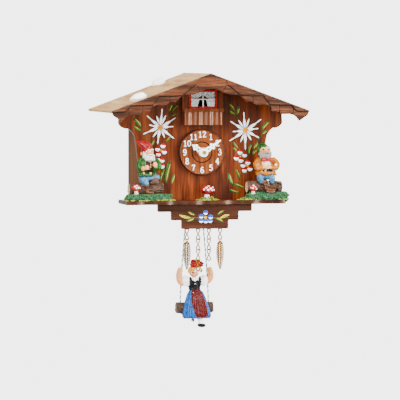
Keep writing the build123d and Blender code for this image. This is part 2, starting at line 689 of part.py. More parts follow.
with BuildPart() as swing_yoke:
    with Locations((0, SWING_Y, SWING_Z)):
        Cylinder(1.0, 34, rotation=(0, 90, 0))
    block(1.5, CORD_TOP[1] + 3, -97.0, SWING_Y - 1.5, SWING_Y + 1.5)
    block(CORD_TOP[0] + 2.4, CORD_TOP[1], CORD_TOP[1] + 3, SWING_Y - 1.5, SWING_Y + 1.5)
save(swing_yoke.part, "swing_yoke")

with BuildPart() as swing_magnet:
    with BuildSketch(Plane(origin=(0, SWING_Y, -97.0))):
        Circle(4.0)
    extrude(amount=3.0)
save(swing_magnet.part, "swing_magnet")

CELL2_Y = -20.0
HOLDER_INNER = 27.6
cell2_z = PLATFORM_TOP + 1.5 + CELL_R + 0.4
with BuildPart() as battery_holder:
    block(29.0, PLATFORM_TOP, PLATFORM_TOP + 10, CELL2_Y - 8.8, CELL2_Y + 8.8)
    block(HOLDER_INNER, PLATFORM_TOP + 1.5, PLATFORM_TOP + 10, CELL2_Y - 7.4, CELL2_Y + 7.4, Mode.SUBTRACT)
save(battery_holder.part, "battery_holder")

with BuildPart() as batteries:
    add(cell(movement_cell_y, movement_cell_z))
    add(cell(CELL2_Y, cell2_z))
save(batteries.part, "batteries")

with BuildPart() as battery_contacts:
    add(cell_contacts(movement_cell_y, movement_cell_z, MOVEMENT_HALF - WALL))
    add(cell_contacts(CELL2_Y, cell2_z, HOLDER_INNER))
save(battery_contacts.part, "battery_contacts")

# ---------------------------------------------------------------- swing
with BuildPart() as swing_seat:
    with Locations((0, SWING_Y, SEAT_Z)):
        Cylinder(SEAT_R, 2 * SEAT_HALF, rotation=(0, 90, 0))
    for side in (-1, 1):
        with BuildSketch(Plane(origin=(side * CORD_SEAT[0], SWING_Y, CORD_SEAT[1]))):
            Circle(CORD_R + 0.3)
        extrude(amount=4.0, mode=Mode.SUBTRACT)
save(swing_seat.part, "swing_seat")


def corner_radii(route):
    """The largest fair arc at each corner: 0.45 of the shorter run over the half turn's tangent."""
    radii = []
    for before, at, after in zip(route, route[1:], route[2:]):
        first = Vector(*at) - Vector(*before)
        second = Vector(*after) - Vector(*at)
        half_turn = radians(first.get_angle(second)) / 2
        radii.append(0.45 * min(first.length, second.length) / tan(half_turn))
    return radii


def cord(name, route):
    """A round cord along straight runs joined by tangent arcs."""
    radii = corner_radii(route)
    with BuildPart() as tube:
        with BuildLine() as path:
            FilletPolyline(*route, radius=radii)
        centre_line = path.wire()
        with BuildSketch(Plane(origin=centre_line @ 0, z_dir=centre_line % 0)):
            Circle(CORD_R)
        sweep(path=centre_line)
    length = centre_line.length
    print(name, "radii", [round(r, 1) for r in radii], "length", round(length, 2))
    print(name, "volume", round(tube.part.volume, 2), "section x length", round(pi * CORD_R**2 * length, 2))
    save(tube.part, name)


for side, name in ((-1, "swing_cord_left"), (1, "swing_cord_right")):
    cord(name, [(side * x, SWING_Y, z) for x, z in (CORD_TOP, CORD_HAND, CORD_SEAT)])

TIE = [(-16.2, -245.0), (-10.5, -248.6), (-3.6, -251.0), (4.0, -250.6), (10.8, -248.4), (16.2, -245.0)]
cord("seat_tie_cord", [(x, SWING_Y, z) for x, z in TIE])

KNOT_R = 2.2
with BuildPart() as tie_knot:
    with Locations((-1.6, SWING_Y, -253.6)):
        Sphere(KNOT_R)
save(tie_knot.part, "tie_knot")

# ---------------------------------------------------------------- chains and cones
with BuildPart() as screw_eyes:
    for x in CHAIN_X.values():
        with Locations((x, HANGER_Y, CHAIN_TOP + EYE_R)):
            Torus(EYE_R, EYE_WIRE, rotation=(90, 0, 0))
        with BuildSketch(Plane(origin=(x, HANGER_Y, CHAIN_TOP + 2 * EYE_R))):
            Circle(EYE_WIRE)
        extrude(amount=PLATFORM_BOTTOM + 3.0 - CHAIN_TOP - 2 * EYE_R)
save(screw_eyes.part, "screw_eyes")

link_drop = EYE_WIRE + WIRE_R + LINK_PLAY
link_pitch = 2 * LOOP_LENGTH - 2 * WIRE_R - LINK_PLAY


def loop_plane(z, turn):
    """A vertical plane through the chain's axis, turned about it."""
    return Plane(
        origin=(0, 0, z), x_dir=(cos(radians(turn)), sin(radians(turn)), 0),
        z_dir=(sin(radians(turn)), -cos(radians(turn)), 0),
    )


# One link: two long loops of wire, end to end, a quarter turn apart. Its top is at the origin.
straight = LOOP_LENGTH / 2 - LOOP_HALF
with BuildPart() as link:
    for middle, turn in ((-LOOP_LENGTH / 2, 45), (-LOOP_LENGTH * 1.5, -45)):
        plane = loop_plane(middle, turn)
        with BuildLine(plane) as loop:
            Line((-LOOP_HALF, -straight), (-LOOP_HALF, straight))
            ThreePointArc((-LOOP_HALF, straight), (0, straight + LOOP_HALF), (LOOP_HALF, straight))
            Line((LOOP_HALF, straight), (LOOP_HALF, -straight))
            ThreePointArc((LOOP_HALF, -straight), (0, -straight - LOOP_HALF), (-LOOP_HALF, -straight))
        with BuildSketch(Plane(origin=plane.from_local_coords((-LOOP_HALF, 0, 0)), z_dir=(0, 0, 1))):
            Circle(WIRE_R)
        sweep(path=loop.wire())


def chain(x, links):
    with BuildPart() as strand:
        tops = [CHAIN_TOP + link_drop - index * link_pitch for index in range(links)]
        with Locations(*[(x, HANGER_Y, top) for top in tops]):
            add(link.part)
    return strand.part


CHAIN_LINKS = {"left_outer": 3, "left_inner": 6, "right_inner": 5, "right_outer": 3}
for place, x in CHAIN_X.items():
    save(chain(x, CHAIN_LINKS[place]), f"chain_{place}")

CONE_LENGTH, CONE_R = 30.0, 4.6
cone_ring_top = CHAIN_TOP + link_drop - CHAIN_LINKS["left_outer"] * link_pitch
CONE_TOP = cone_ring_top - 2 * LOOP_HALF - 0.6


def pine_cone(x):
    """A cast cone: a slim egg with a ring on top, turned on the chain's axis."""
    bottom = CONE_TOP - CONE_LENGTH
    with BuildPart() as cone:
        with BuildSketch(Plane(origin=(x, HANGER_Y, 0), x_dir=(1, 0, 0), z_dir=(0, -1, 0))):
            with BuildLine():
                Spline(
                    (1.2, CONE_TOP), (CONE_R * 0.86, CONE_TOP - 5), (CONE_R, CONE_TOP - 13),
                    (CONE_R * 0.66, CONE_TOP - 24), (0.9, bottom),
                )
                Polyline((0.9, bottom), (0, bottom), (0, CONE_TOP), (1.2, CONE_TOP))
            make_face()
        revolve(axis=Axis((x, HANGER_Y, 0), (0, 0, 1)))
        with Locations(Location((x, HANGER_Y, cone_ring_top - LOOP_HALF), (90, 0, 45))):
            Torus(LOOP_HALF, WIRE_R)
        with BuildSketch(Plane(origin=(x, HANGER_Y, CONE_TOP - 0.5))):
            Circle(0.7)
        extrude(amount=1.2)
    return cone.part


save(pine_cone(CHAIN_X["left_outer"]), "pine_cone_left")
save(pine_cone(CHAIN_X["right_outer"]), "pine_cone_right")

# ---------------------------------------------------------------- figures
FIGURE_Y = -100.0
GRASS = 8.0
LOG_R = 6.2


def gnome(slab_ends, log_ends, body_x, hat_tip, seat_lift):
    """A cast gnome who sits on a log, on a slab of grass."""
    body_z = PLATFORM_TOP + seat_lift
    log_z = PLATFORM_TOP + GRASS + LOG_R - 0.5
    with BuildPart() as figure:
        with Locations((sum(slab_ends) / 2, FIGURE_Y, PLATFORM_TOP + GRASS / 2)):
            Box(slab_ends[1] - slab_ends[0], 15.0, GRASS)
        with Locations((sum(log_ends) / 2, FIGURE_Y + 1.5, log_z)):
            Cylinder(LOG_R, log_ends[1] - log_ends[0], rotation=(0, 90, 0))
        with Locations((body_x, FIGURE_Y, body_z)):
            Cylinder(8.5, 22.0)
        with Locations((body_x, FIGURE_Y - 6.5, body_z - 14.0)):
            Box(20.0, 10.0, 14.0)
        with Locations((body_x, FIGURE_Y, body_z + 10.5)):
            Cylinder(9.0, 9.0)
        with BuildSketch(Plane.XY.offset(body_z + 15.0)):
            with Locations((body_x, FIGURE_Y)):
                Circle(7.8)
        with BuildSketch(Plane.XY.offset(hat_tip[1])):
            with Locations((hat_tip[0], FIGURE_Y)):
                Circle(1.5)
        loft()
    return figure.part


save(gnome((-90.5, -37.0), (-85.5, -46.5), -67.0, (-77.5, -47.8), 30.0), "gnome_left")
save(gnome((45.0, 96.0), (47.5, 88.5), 71.5, (70.0, -51.5), 32.0), "gnome_right")

with BuildPart() as mushroom:
    with Locations((3.7, -102.0, PLATFORM_TOP + 5.0)):
        Cylinder(3.2, 10.0)
    with BuildSketch(Plane(origin=(3.9, -102.0, -107.0))):
        Circle(8.0)
    with BuildSketch(Plane(origin=(3.9, -102.0, -99.2))):
        Circle(3.5)
    loft()
save(mushroom.part, "mushroom")

MOSS = [(-86.5, -110.2, 2.6), (-50.0, -110.4, 2.6), (-33.0, -107.0, 2.8), (14.5, -104.5, 2.4), (41.5, -104.5, 3.0)]
with BuildPart() as moss_tufts:
    for moss_x, moss_y, height in MOSS:
        with BuildSketch(Plane(origin=(moss_x, moss_y, PLATFORM_TOP))):
            Circle(2.6)
        with BuildSketch(Plane(origin=(moss_x, moss_y, PLATFORM_TOP + height))):
            Circle(1.6)
        loft()
save(moss_tufts.part, "moss_tufts")

HEM_Z, WAIST_Z = -249.5, -220.7
with BuildPart() as doll:
    with BuildSketch(Plane(origin=(1.2, SWING_Y - 6.0, HEM_Z))):
        Ellipse(18.5, 11.0)
    with BuildSketch(Plane(origin=(0.7, SWING_Y - 4.0, WAIST_Z))):
        Ellipse(8.0, 5.5)
    loft()
    with BuildSketch(Plane(origin=(0.7, SWING_Y - 4.0, WAIST_Z))):
        Ellipse(8.0, 5.5)
    with BuildSketch(Plane(origin=(0.3, SWING_Y - 4.0, WAIST_Z + 18.0))):
        Ellipse(5.0, 3.6)
    loft()
    with Locations((0.2, SWING_Y - 4.5, -194.0)):
        Cylinder(6.4, 20.0)
    for side in (-1, 1):
        with Locations((side * 11.5, SWING_Y - 4.0, -208.0)):
            Box(16.0, 7.0, 9.0)
        with Locations((side * 19.4, SWING_Y - 3.0, -203.5)):
            Box(6.0, 5.0, 18.0)
    with Locations((4.5, SWING_Y - 8.0, -255.0)):
        Cylinder(3.0, 12.0)
    with Locations((6.6, SWING_Y - 10.5, -259.0)):
        Box(8.0, 11.0, 4.0)
    with Locations((0, SWING_Y, SEAT_Z)):
        Cylinder(SEAT_R + 0.05, 2 * SEAT_HALF + 10, rotation=(0, 90, 0), mode=Mode.SUBTRACT)
    for side in (-1, 1):
        with Locations((side * 16.0, SWING_Y, -205.0)):
            Cylinder(1.6, 30.0, mode=Mode.SUBTRACT)
    block(30.0, -262.0, SEAT_Z, SWING_Y - 2.0, SWING_Y + 12.0, Mode.SUBTRACT)
    block(30.0, SEAT_Z, SEAT_Z + 16.0, SWING_Y + 1.0, SWING_Y + 12.0, Mode.SUBTRACT)
save(doll.part, "doll")
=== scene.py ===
import math
import random

import bmesh
import bpy
import numpy as np
from mathutils import Euler, Matrix, Vector, noise


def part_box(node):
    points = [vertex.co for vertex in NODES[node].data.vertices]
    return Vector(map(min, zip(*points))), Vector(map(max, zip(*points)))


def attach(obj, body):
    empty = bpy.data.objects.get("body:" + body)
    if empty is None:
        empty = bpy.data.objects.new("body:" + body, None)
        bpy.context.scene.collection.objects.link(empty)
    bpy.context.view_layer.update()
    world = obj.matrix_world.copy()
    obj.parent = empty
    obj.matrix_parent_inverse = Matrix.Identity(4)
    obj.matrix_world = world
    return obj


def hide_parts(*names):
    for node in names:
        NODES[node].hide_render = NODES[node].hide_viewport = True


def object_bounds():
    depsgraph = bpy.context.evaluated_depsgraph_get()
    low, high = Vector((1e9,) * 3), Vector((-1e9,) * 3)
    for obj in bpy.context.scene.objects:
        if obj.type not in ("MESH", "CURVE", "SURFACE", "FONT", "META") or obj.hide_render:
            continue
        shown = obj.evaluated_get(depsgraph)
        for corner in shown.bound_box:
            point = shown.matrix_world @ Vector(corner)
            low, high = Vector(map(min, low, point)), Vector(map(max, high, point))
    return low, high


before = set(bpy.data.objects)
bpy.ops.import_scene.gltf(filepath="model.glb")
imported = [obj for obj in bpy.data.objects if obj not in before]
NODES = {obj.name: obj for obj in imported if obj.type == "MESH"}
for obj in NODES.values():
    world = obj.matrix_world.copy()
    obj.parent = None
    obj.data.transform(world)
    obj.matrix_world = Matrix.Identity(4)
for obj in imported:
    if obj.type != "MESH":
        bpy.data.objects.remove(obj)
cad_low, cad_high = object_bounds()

# A miniature chalet clock. Shapes are written in millimetres in the frame's own axes and
# turned into metres when a mesh is made.
MM = 0.001


def low_high(node):
    """A node's box in millimetres."""
    low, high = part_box(node)
    return low / MM, high / MM


roof_low, roof_high = low_high("bargeboard")
facade_low = low_high("facade_panel")[0]
dial_low, dial_high = low_high("dial_disc")
platform_high = low_high("figure_platform")[1]
RIDGE_Z = roof_high.z
ROOF_HALF = roof_high.x
ROOF_DROP = 40.8              # from the ridge to the eave
ROOF_SLOPE = ROOF_DROP / ROOF_HALF
BARGE_FACE = roof_low.y
BARGE_BACK = roof_high.y
FACADE_Y = facade_low.y
SHELF_Z = platform_high.z
DIAL = Vector((0.0, dial_low.y, (dial_low.z + dial_high.z) / 2))

# ------------------------------------------------------------------ camera
CAMERA_YAW = math.radians(13.05)
CAMERA_DIP = math.radians(2.78)
CAMERA_DISTANCE = 3.2804
CAMERA_TARGET = Vector((-0.01334, -0.138, -0.11415))
CAMERA_LENS, CAMERA_SENSOR, CAMERA_REACH = 270.0, 36.0, 20.0


def make_camera():
    sight = Vector((
        math.sin(CAMERA_YAW) * math.cos(CAMERA_DIP),
        math.cos(CAMERA_YAW) * math.cos(CAMERA_DIP),
        -math.sin(CAMERA_DIP),
    ))
    data = bpy.data.cameras.new("camera")
    data.lens = CAMERA_LENS
    data.sensor_width = CAMERA_SENSOR
    data.clip_end = CAMERA_REACH
    camera = bpy.data.objects.new("camera", data)
    camera.location = CAMERA_TARGET - sight * CAMERA_DISTANCE
    camera.rotation_euler = sight.to_track_quat("-Z", "Y").to_euler()
    bpy.context.scene.collection.objects.link(camera)
    bpy.context.scene.camera = camera


make_camera()


# ------------------------------------------------------------------ mesh helpers
def link_object(name, data):
    thing = bpy.data.objects.new(name, data)
    bpy.context.scene.collection.objects.link(thing)
    return thing


def as_mesh(name, build, scale=MM):
    """Closes a bmesh made in millimetres into a mesh in metres."""
    bmesh.ops.recalc_face_normals(build, faces=build.faces[:])
    bmesh.ops.scale(build, vec=(scale,) * 3, verts=build.verts[:])
    mesh = bpy.data.meshes.new(name)
    build.to_mesh(mesh)
    build.free()
    mesh.polygons.foreach_set("use_smooth", [True] * len(mesh.polygons))
    return mesh


def piece(name, mesh, looks, body, *replaced, finish=None):
    for look in looks:
        mesh.materials.append(look)
    thing = link_object(name, mesh)
    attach(thing, body)
    if replaced:
        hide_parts(*replaced)
    return thing


def smooth_line(points, steps=8, closed=False):
    """Points of any length run through by one smooth line."""
    points = [tuple(p) for p in points]
    last = len(points) - 1
    line = []
    for index in range(len(points) if closed else last):
        if closed:
            four = [points[(index + k) % len(points)] for k in (-1, 0, 1, 2)]
        else:
            four = [points[min(max(index + k, 0), last)] for k in (-1, 0, 1, 2)]
        for step in range(steps):
            t = step / steps
            weights = (
                -t / 2 + t * t - t ** 3 / 2, 1 - 2.5 * t * t + 1.5 * t ** 3,
                t / 2 + 2 * t * t - 1.5 * t ** 3, (t ** 3 - t * t) / 2,
            )
            axes = range(len(points[0]))
            line.append(tuple(sum(w * p[axis] for w, p in zip(weights, four)) for axis in axes))
    if not closed:
        line.append(points[-1])
    return line


def bridge(build, rings, closed=False, index=0):
    """Skins a row of rings of equal length; open rows are capped."""
    count = len(rings[0])
    pairs = list(zip(rings, rings[1:]))
    if closed:
        gaps = []
        for s in range(count):
            gaps.append(sum((rings[-1][(k + s) % count].co - rings[0][k].co).length for k in range(count)))
        shift = gaps.index(min(gaps))
        pairs.append(([rings[-1][(k + shift) % count] for k in range(count)], rings[0]))
    for low, high in pairs:
        for k in range(count):
            face = build.faces.new((low[k], low[(k + 1) % count], high[(k + 1) % count], high[k]))
            face.material_index = index
    if not closed:
        build.faces.new(rings[0][::-1]).material_index = index
        build.faces.new(rings[-1]).material_index = index


def wire(build, points, radius, sides=10, closed=False, index=0):
    """A round wire along a line; radius is one number or one for each point."""
    points = [Vector(p) for p in points]
    radii = radius if isinstance(radius, list) else [radius] * len(points)
    side = None
    rings = []
    for k, point in enumerate(points):
        ahead = points[(k + 1) % len(points)] if closed or k + 1 < len(points) else point
        behind = points[k - 1] if closed or k else point
        along = (ahead - behind).normalized()
        side = along.orthogonal() if side is None else side - along * side.dot(along)
        side.normalize()
        other = along.cross(side)
        turns = [2 * math.pi * s / sides for s in range(sides)]
        places = [point + (side * math.cos(a) + other * math.sin(a)) * radii[k] for a in turns]
        rings.append([build.verts.new(place) for place in places])
    bridge(build, rings, closed, index)


# ------------------------------------------------------------------ cords
# Two swing cords rise from the seat log past the doll's hands to the yoke; a third piece of
# the same cord is tied under the seat. Points in metres.
SWING_CORDS = {
    -1: ((-0.0066, -0.052, -0.1135), (-0.0157, -0.052, -0.195), (-0.0162, -0.052, -0.235)),
    1: ((0.0066, -0.052, -0.1135), (0.0157, -0.052, -0.195), (0.0162, -0.052, -0.235)),
}
TIE_CORD = (
    (-0.0162, -0.052, -0.245), (-0.0105, -0.052, -0.2486), (-0.0036, -0.052, -0.251),
    (0.004, -0.052, -0.2506), (0.0108, -0.052, -0.2484), (0.0162, -0.052, -0.245),
)
# How a cord is laid, in millimetres: four strands, two of each colour.
STRANDS, STRAND_R, STRAND_OUT = 4, 0.46, 0.40
LAY_TURNS_PER_MM, LAY_STEPS_PER_MM = 0.17, 3


def spline_points(name, points):
    """Points of a smooth spline through a cord's route, in metres."""
    curve = bpy.data.curves.new(name, "CURVE")
    curve.dimensions = "3D"
    curve.resolution_u = 40
    line = curve.splines.new("NURBS")
    line.points.add(len(points) - 1)
    for control, point in zip(line.points, points):
        control.co = (*point, 1.0)
    line.order_u = 3
    line.use_endpoint_u = True
    holder = bpy.data.objects.new(name, curve)
    mesh = bpy.data.meshes.new_from_object(holder)
    path = [v.co.copy() for v in mesh.vertices]
    bpy.data.objects.remove(holder)
    bpy.data.curves.remove(curve)
    bpy.data.meshes.remove(mesh)
    return path


def twisted(name, path):
    """Laid strands in two colours round a cord's line, in one mesh."""
    build = bmesh.new()
    lengths = [0.0]
    for a, b in zip(path, path[1:]):
        lengths.append(lengths[-1] + (b - a).length / MM)
    steps = int(lengths[-1] * LAY_STEPS_PER_MM)
    line = []
    at = 0
    for step in range(steps + 1):
        where = lengths[-1] * step / steps
        while at < len(lengths) - 2 and lengths[at + 1] < where:
            at += 1
        t = (where - lengths[at]) / max(lengths[at + 1] - lengths[at], 1e-9)
        line.append((path[at].lerp(path[at + 1], t) / MM, (path[at + 1] - path[at]).normalized(), where))
    for strand in range(STRANDS):
        phase = 2 * math.pi * strand / STRANDS
        points = []
        for point, along, where in line:
            side = Vector((0, 1, 0)) - along * along.y
            side.normalize()
            angle = phase + 2 * math.pi * LAY_TURNS_PER_MM * where
            points.append(point + (side * math.cos(angle) + along.cross(side) * math.sin(angle)) * STRAND_OUT)
        wire(build, points, STRAND_R, 8, index=2 * strand // STRANDS)
    return as_mesh(name, build)


# ------------------------------------------------------------------ materials
class Look:
    """A procedural material; each method adds a node and returns what it gives out."""

    def __init__(self, name, **constants):
        self.mat = bpy.data.materials.new(name)
        self.mat.use_nodes = True
        self.tree = self.mat.node_tree
        self.tree.nodes.clear()
        out = self.tree.nodes.new("ShaderNodeOutputMaterial")
        self.shader = self.tree.nodes.new("ShaderNodeBsdfPrincipled")
        self.tree.links.new(self.shader.outputs[0], out.inputs[0])
        self.place = self.tree.nodes.new("ShaderNodeTexCoord").outputs["Object"]
        for key, value in constants.items():
            self.shader.inputs[key.replace("_", " ")].default_value = value

    def node(self, kind, sockets, **settings):
        made = self.tree.nodes.new(kind)
        for key, value in settings.items():
            setattr(made, key, value)
        for key, value in sockets.items():
            if isinstance(value, bpy.types.NodeSocket):
                self.tree.links.new(value, made.inputs[key])
            else:
                made.inputs[key].default_value = value
        return made

    def spread(self, stretch, turn=(0, 0, 0)):
        """Object coordinates, stretched by cycles per millimetre along each axis."""
        scale = [1000.0 * s for s in stretch]
        sockets = {"Vector": self.place, "Scale": scale, "Rotation": turn}
        return self.node("ShaderNodeMapping", sockets).outputs[0]

    def noise(self, stretch, detail=4.0, rough=0.55, warp=0.0, turn=(0, 0, 0)):
        sockets = {
            "Vector": self.spread(stretch, turn), "Scale": 1.0, "Detail": detail,
            "Roughness": rough, "Distortion": warp,
        }
        return self.node("ShaderNodeTexNoise", sockets).outputs[0]

    def cells(self, stretch, feature="F1"):
        sockets = {"Vector": self.spread(stretch), "Scale": 1.0}
        return self.node("ShaderNodeTexVoronoi", sockets, feature=feature).outputs["Distance"]

    def ramp(self, fac, *stops):
        made = self.node("ShaderNodeValToRGB", {"Fac": fac})
        elements = made.color_ramp.elements
        while len(elements) < len(stops):
            elements.new(0.5)
        for element, (at, colour) in zip(elements, stops):
            element.position = at
            element.color = (*colour, 1.0)
        return made.outputs[0]

    def math(self, operation, a, b=0.0, c=0.0):
        return self.node("ShaderNodeMath", {0: a, 1: b, 2: c}, operation=operation).outputs[0]

    def blend(self, fac, a, b, mode="MIX"):
        made = self.node("ShaderNodeMix", {}, data_type="RGBA", blend_type=mode)
        for index, value in ((0, fac), (6, a), (7, b)):
            if isinstance(value, bpy.types.NodeSocket):
                self.tree.links.new(value, made.inputs[index])
            elif index:
                made.inputs[index].default_value = (*value, 1.0)
            else:
                made.inputs[index].default_value = value
        return made.outputs[2]

    def bump(self, height, depth, under=None):
        sockets = {"Height": height, "Distance": depth * MM, "Strength": 1.0}
        if under is not None:
            sockets["Normal"] = under
        return self.node("ShaderNodeBump", sockets).outputs[0]

    def wear(self):
        """Pointiness; it darkens hollows, as tarnish on metal and as painted shade on paint."""
        return self.node("ShaderNodeNewGeometry", {}).outputs["Pointiness"]

    def set(self, **links):
        for key, value in links.items():
            socket = self.shader.inputs[key.replace("_", " ")]
            if isinstance(value, bpy.types.NodeSocket):
                self.tree.links.new(value, socket)
            else:
                socket.default_value = value
        return self.mat


def grained(across, along, axis):
    """Stretch factors for a grain that runs along axis 0, 1 or 2."""
    return tuple(along if index == axis else across for index in range(3))


LACQUER = 0.35                # share of a wood's stated coat that is laid on
COAT_ROUGH = 0.2
WARM_SHEEN = (1.0, 0.62, 0.40, 1.0)
DEEP_PAINT = 0.02             # a paint darker than this is nearly black and hardly shines


def wood(name, dark, mid, light, axis, rough=0.32, coat=0.5, depth=0.05, scale=1.0, turn=(0, 0, 0)):
    """Lacquered or raw wood: growth bands, fine fibres and open pores along one axis."""
    look = Look(
        name, Coat_Weight=coat * LACQUER, Coat_Roughness=COAT_ROUGH, Specular_Tint=WARM_SHEEN,
        Specular_IOR_Level=0.4 if coat else 0.15,
    )
    bands = look.noise(grained(0.11 * scale, 0.010 * scale, axis), 3.0, 0.5, 0.6, turn)
    fibres = look.noise(grained(1.3 * scale, 0.035 * scale, axis), 5.0, 0.6, 0.2, turn)
    pores = look.noise(grained(3.2 * scale, 0.12 * scale, axis), 2.0, 0.5, 0.0, turn)
    tone = look.math("ADD", look.math("MULTIPLY", bands, 0.55), look.math("MULTIPLY", fibres, 0.45))
    colour = look.ramp(tone, (0.37, dark), (0.5, mid), (0.64, light))
    pits = look.ramp(pores, (0.30, (0.45, 0.45, 0.45)), (0.42, (1, 1, 1)))
    colour = look.blend(0.75, colour, pits, "MULTIPLY")
    gloss = look.math("MULTIPLY_ADD", fibres, 0.25, rough - 0.1)
    grain = look.bump(look.math("ADD", fibres, look.math("MULTIPLY", pores, 0.6)), depth)
    return look.set(Base_Color=colour, Roughness=gloss, Normal=grain)


def paint(name, colour, shade=0.75, rough=0.38, coat=0.3, depth=0.03, scale=1.0, mottle=0.5):
    """Brushed enamel: uneven cover, painted shade in its hollows and rubbed high spots."""
    tint = tuple(0.35 + 0.65 * c / max(colour) for c in colour)
    level = 0.2 if max(colour) > DEEP_PAINT else 0.06
    look = Look(
        name, Coat_Weight=coat * level, Coat_Roughness=COAT_ROUGH, Specular_IOR_Level=level,
        Specular_Tint=(*tint, 1.0),
    )
    patches = look.noise((0.35 * scale,) * 3, 4.0, 0.6)
    strokes = look.noise((2.2 * scale, 2.2 * scale, 0.9 * scale), 3.0, 0.6)
    deep = tuple(c * shade for c in colour)
    bright = tuple(min(1.0, c * (1.0 + 0.35 * mottle) + 0.02) for c in colour)
    tone = look.ramp(patches, (0.32, deep), (0.5, colour), (0.72, bright))
    # Pointiness darkens the paint in hollows: painted shade.
    painted_hollow_shade = look.ramp(look.wear(), (0.44, deep), (0.5, (1, 1, 1)))
    tone = look.blend(0.45 * mottle, tone, painted_hollow_shade, "MULTIPLY")
    gloss = look.math("MULTIPLY_ADD", strokes, 0.3, rough - 0.15)
    return look.set(Base_Color=tone, Roughness=gloss, Normal=look.bump(strokes, depth * 0.3))


def metal(name, colour, tarnish, rough=0.2, depth=0.02, scale=1.0):
    """Plated or drawn metal with tarnish in its hollows and fine scratches."""
    look = Look(name, Metallic=1.0)
    cloud = look.noise((0.5 * scale,) * 3, 4.0, 0.6)
    scratch = look.noise((6.0 * scale, 6.0 * scale, 0.8 * scale), 2.0, 0.5)
    tone = look.ramp(cloud, (0.3, tarnish), (0.55, colour), (0.8, tuple(min(1, c * 1.12) for c in colour)))
    hollow = look.ramp(look.wear(), (0.42, (0.45, 0.38, 0.3)), (0.5, (1, 1, 1)))
    tone = look.blend(0.6, tone, hollow, "MULTIPLY")
    gloss = look.math("MULTIPLY_ADD", cloud, 0.3, rough - 0.1)
    return look.set(Base_Color=tone, Roughness=gloss, Normal=look.bump(scratch, depth))


def plastic(name, colour, rough=0.35, speck=0.06, depth=0.02):
    """Moulded plastic with a faint spark-eroded texture and dust."""
    look = Look(name, Specular_IOR_Level=0.5)
    grain = look.noise((5.0, 5.0, 5.0), 2.0, 0.5)
    cloud = look.noise((0.12, 0.12, 0.12), 3.0, 0.5)
    tone = look.ramp(
        cloud, (0.3, tuple(c * (1 - speck) for c in colour)), (
            0.7, tuple(min(1, c * (1 + speck)) for c in colour),
        )
    )
    gloss = look.math("MULTIPLY_ADD", grain, 0.2, rough - 0.1)
    return look.set(Base_Color=tone, Roughness=gloss, Normal=look.bump(grain, depth))


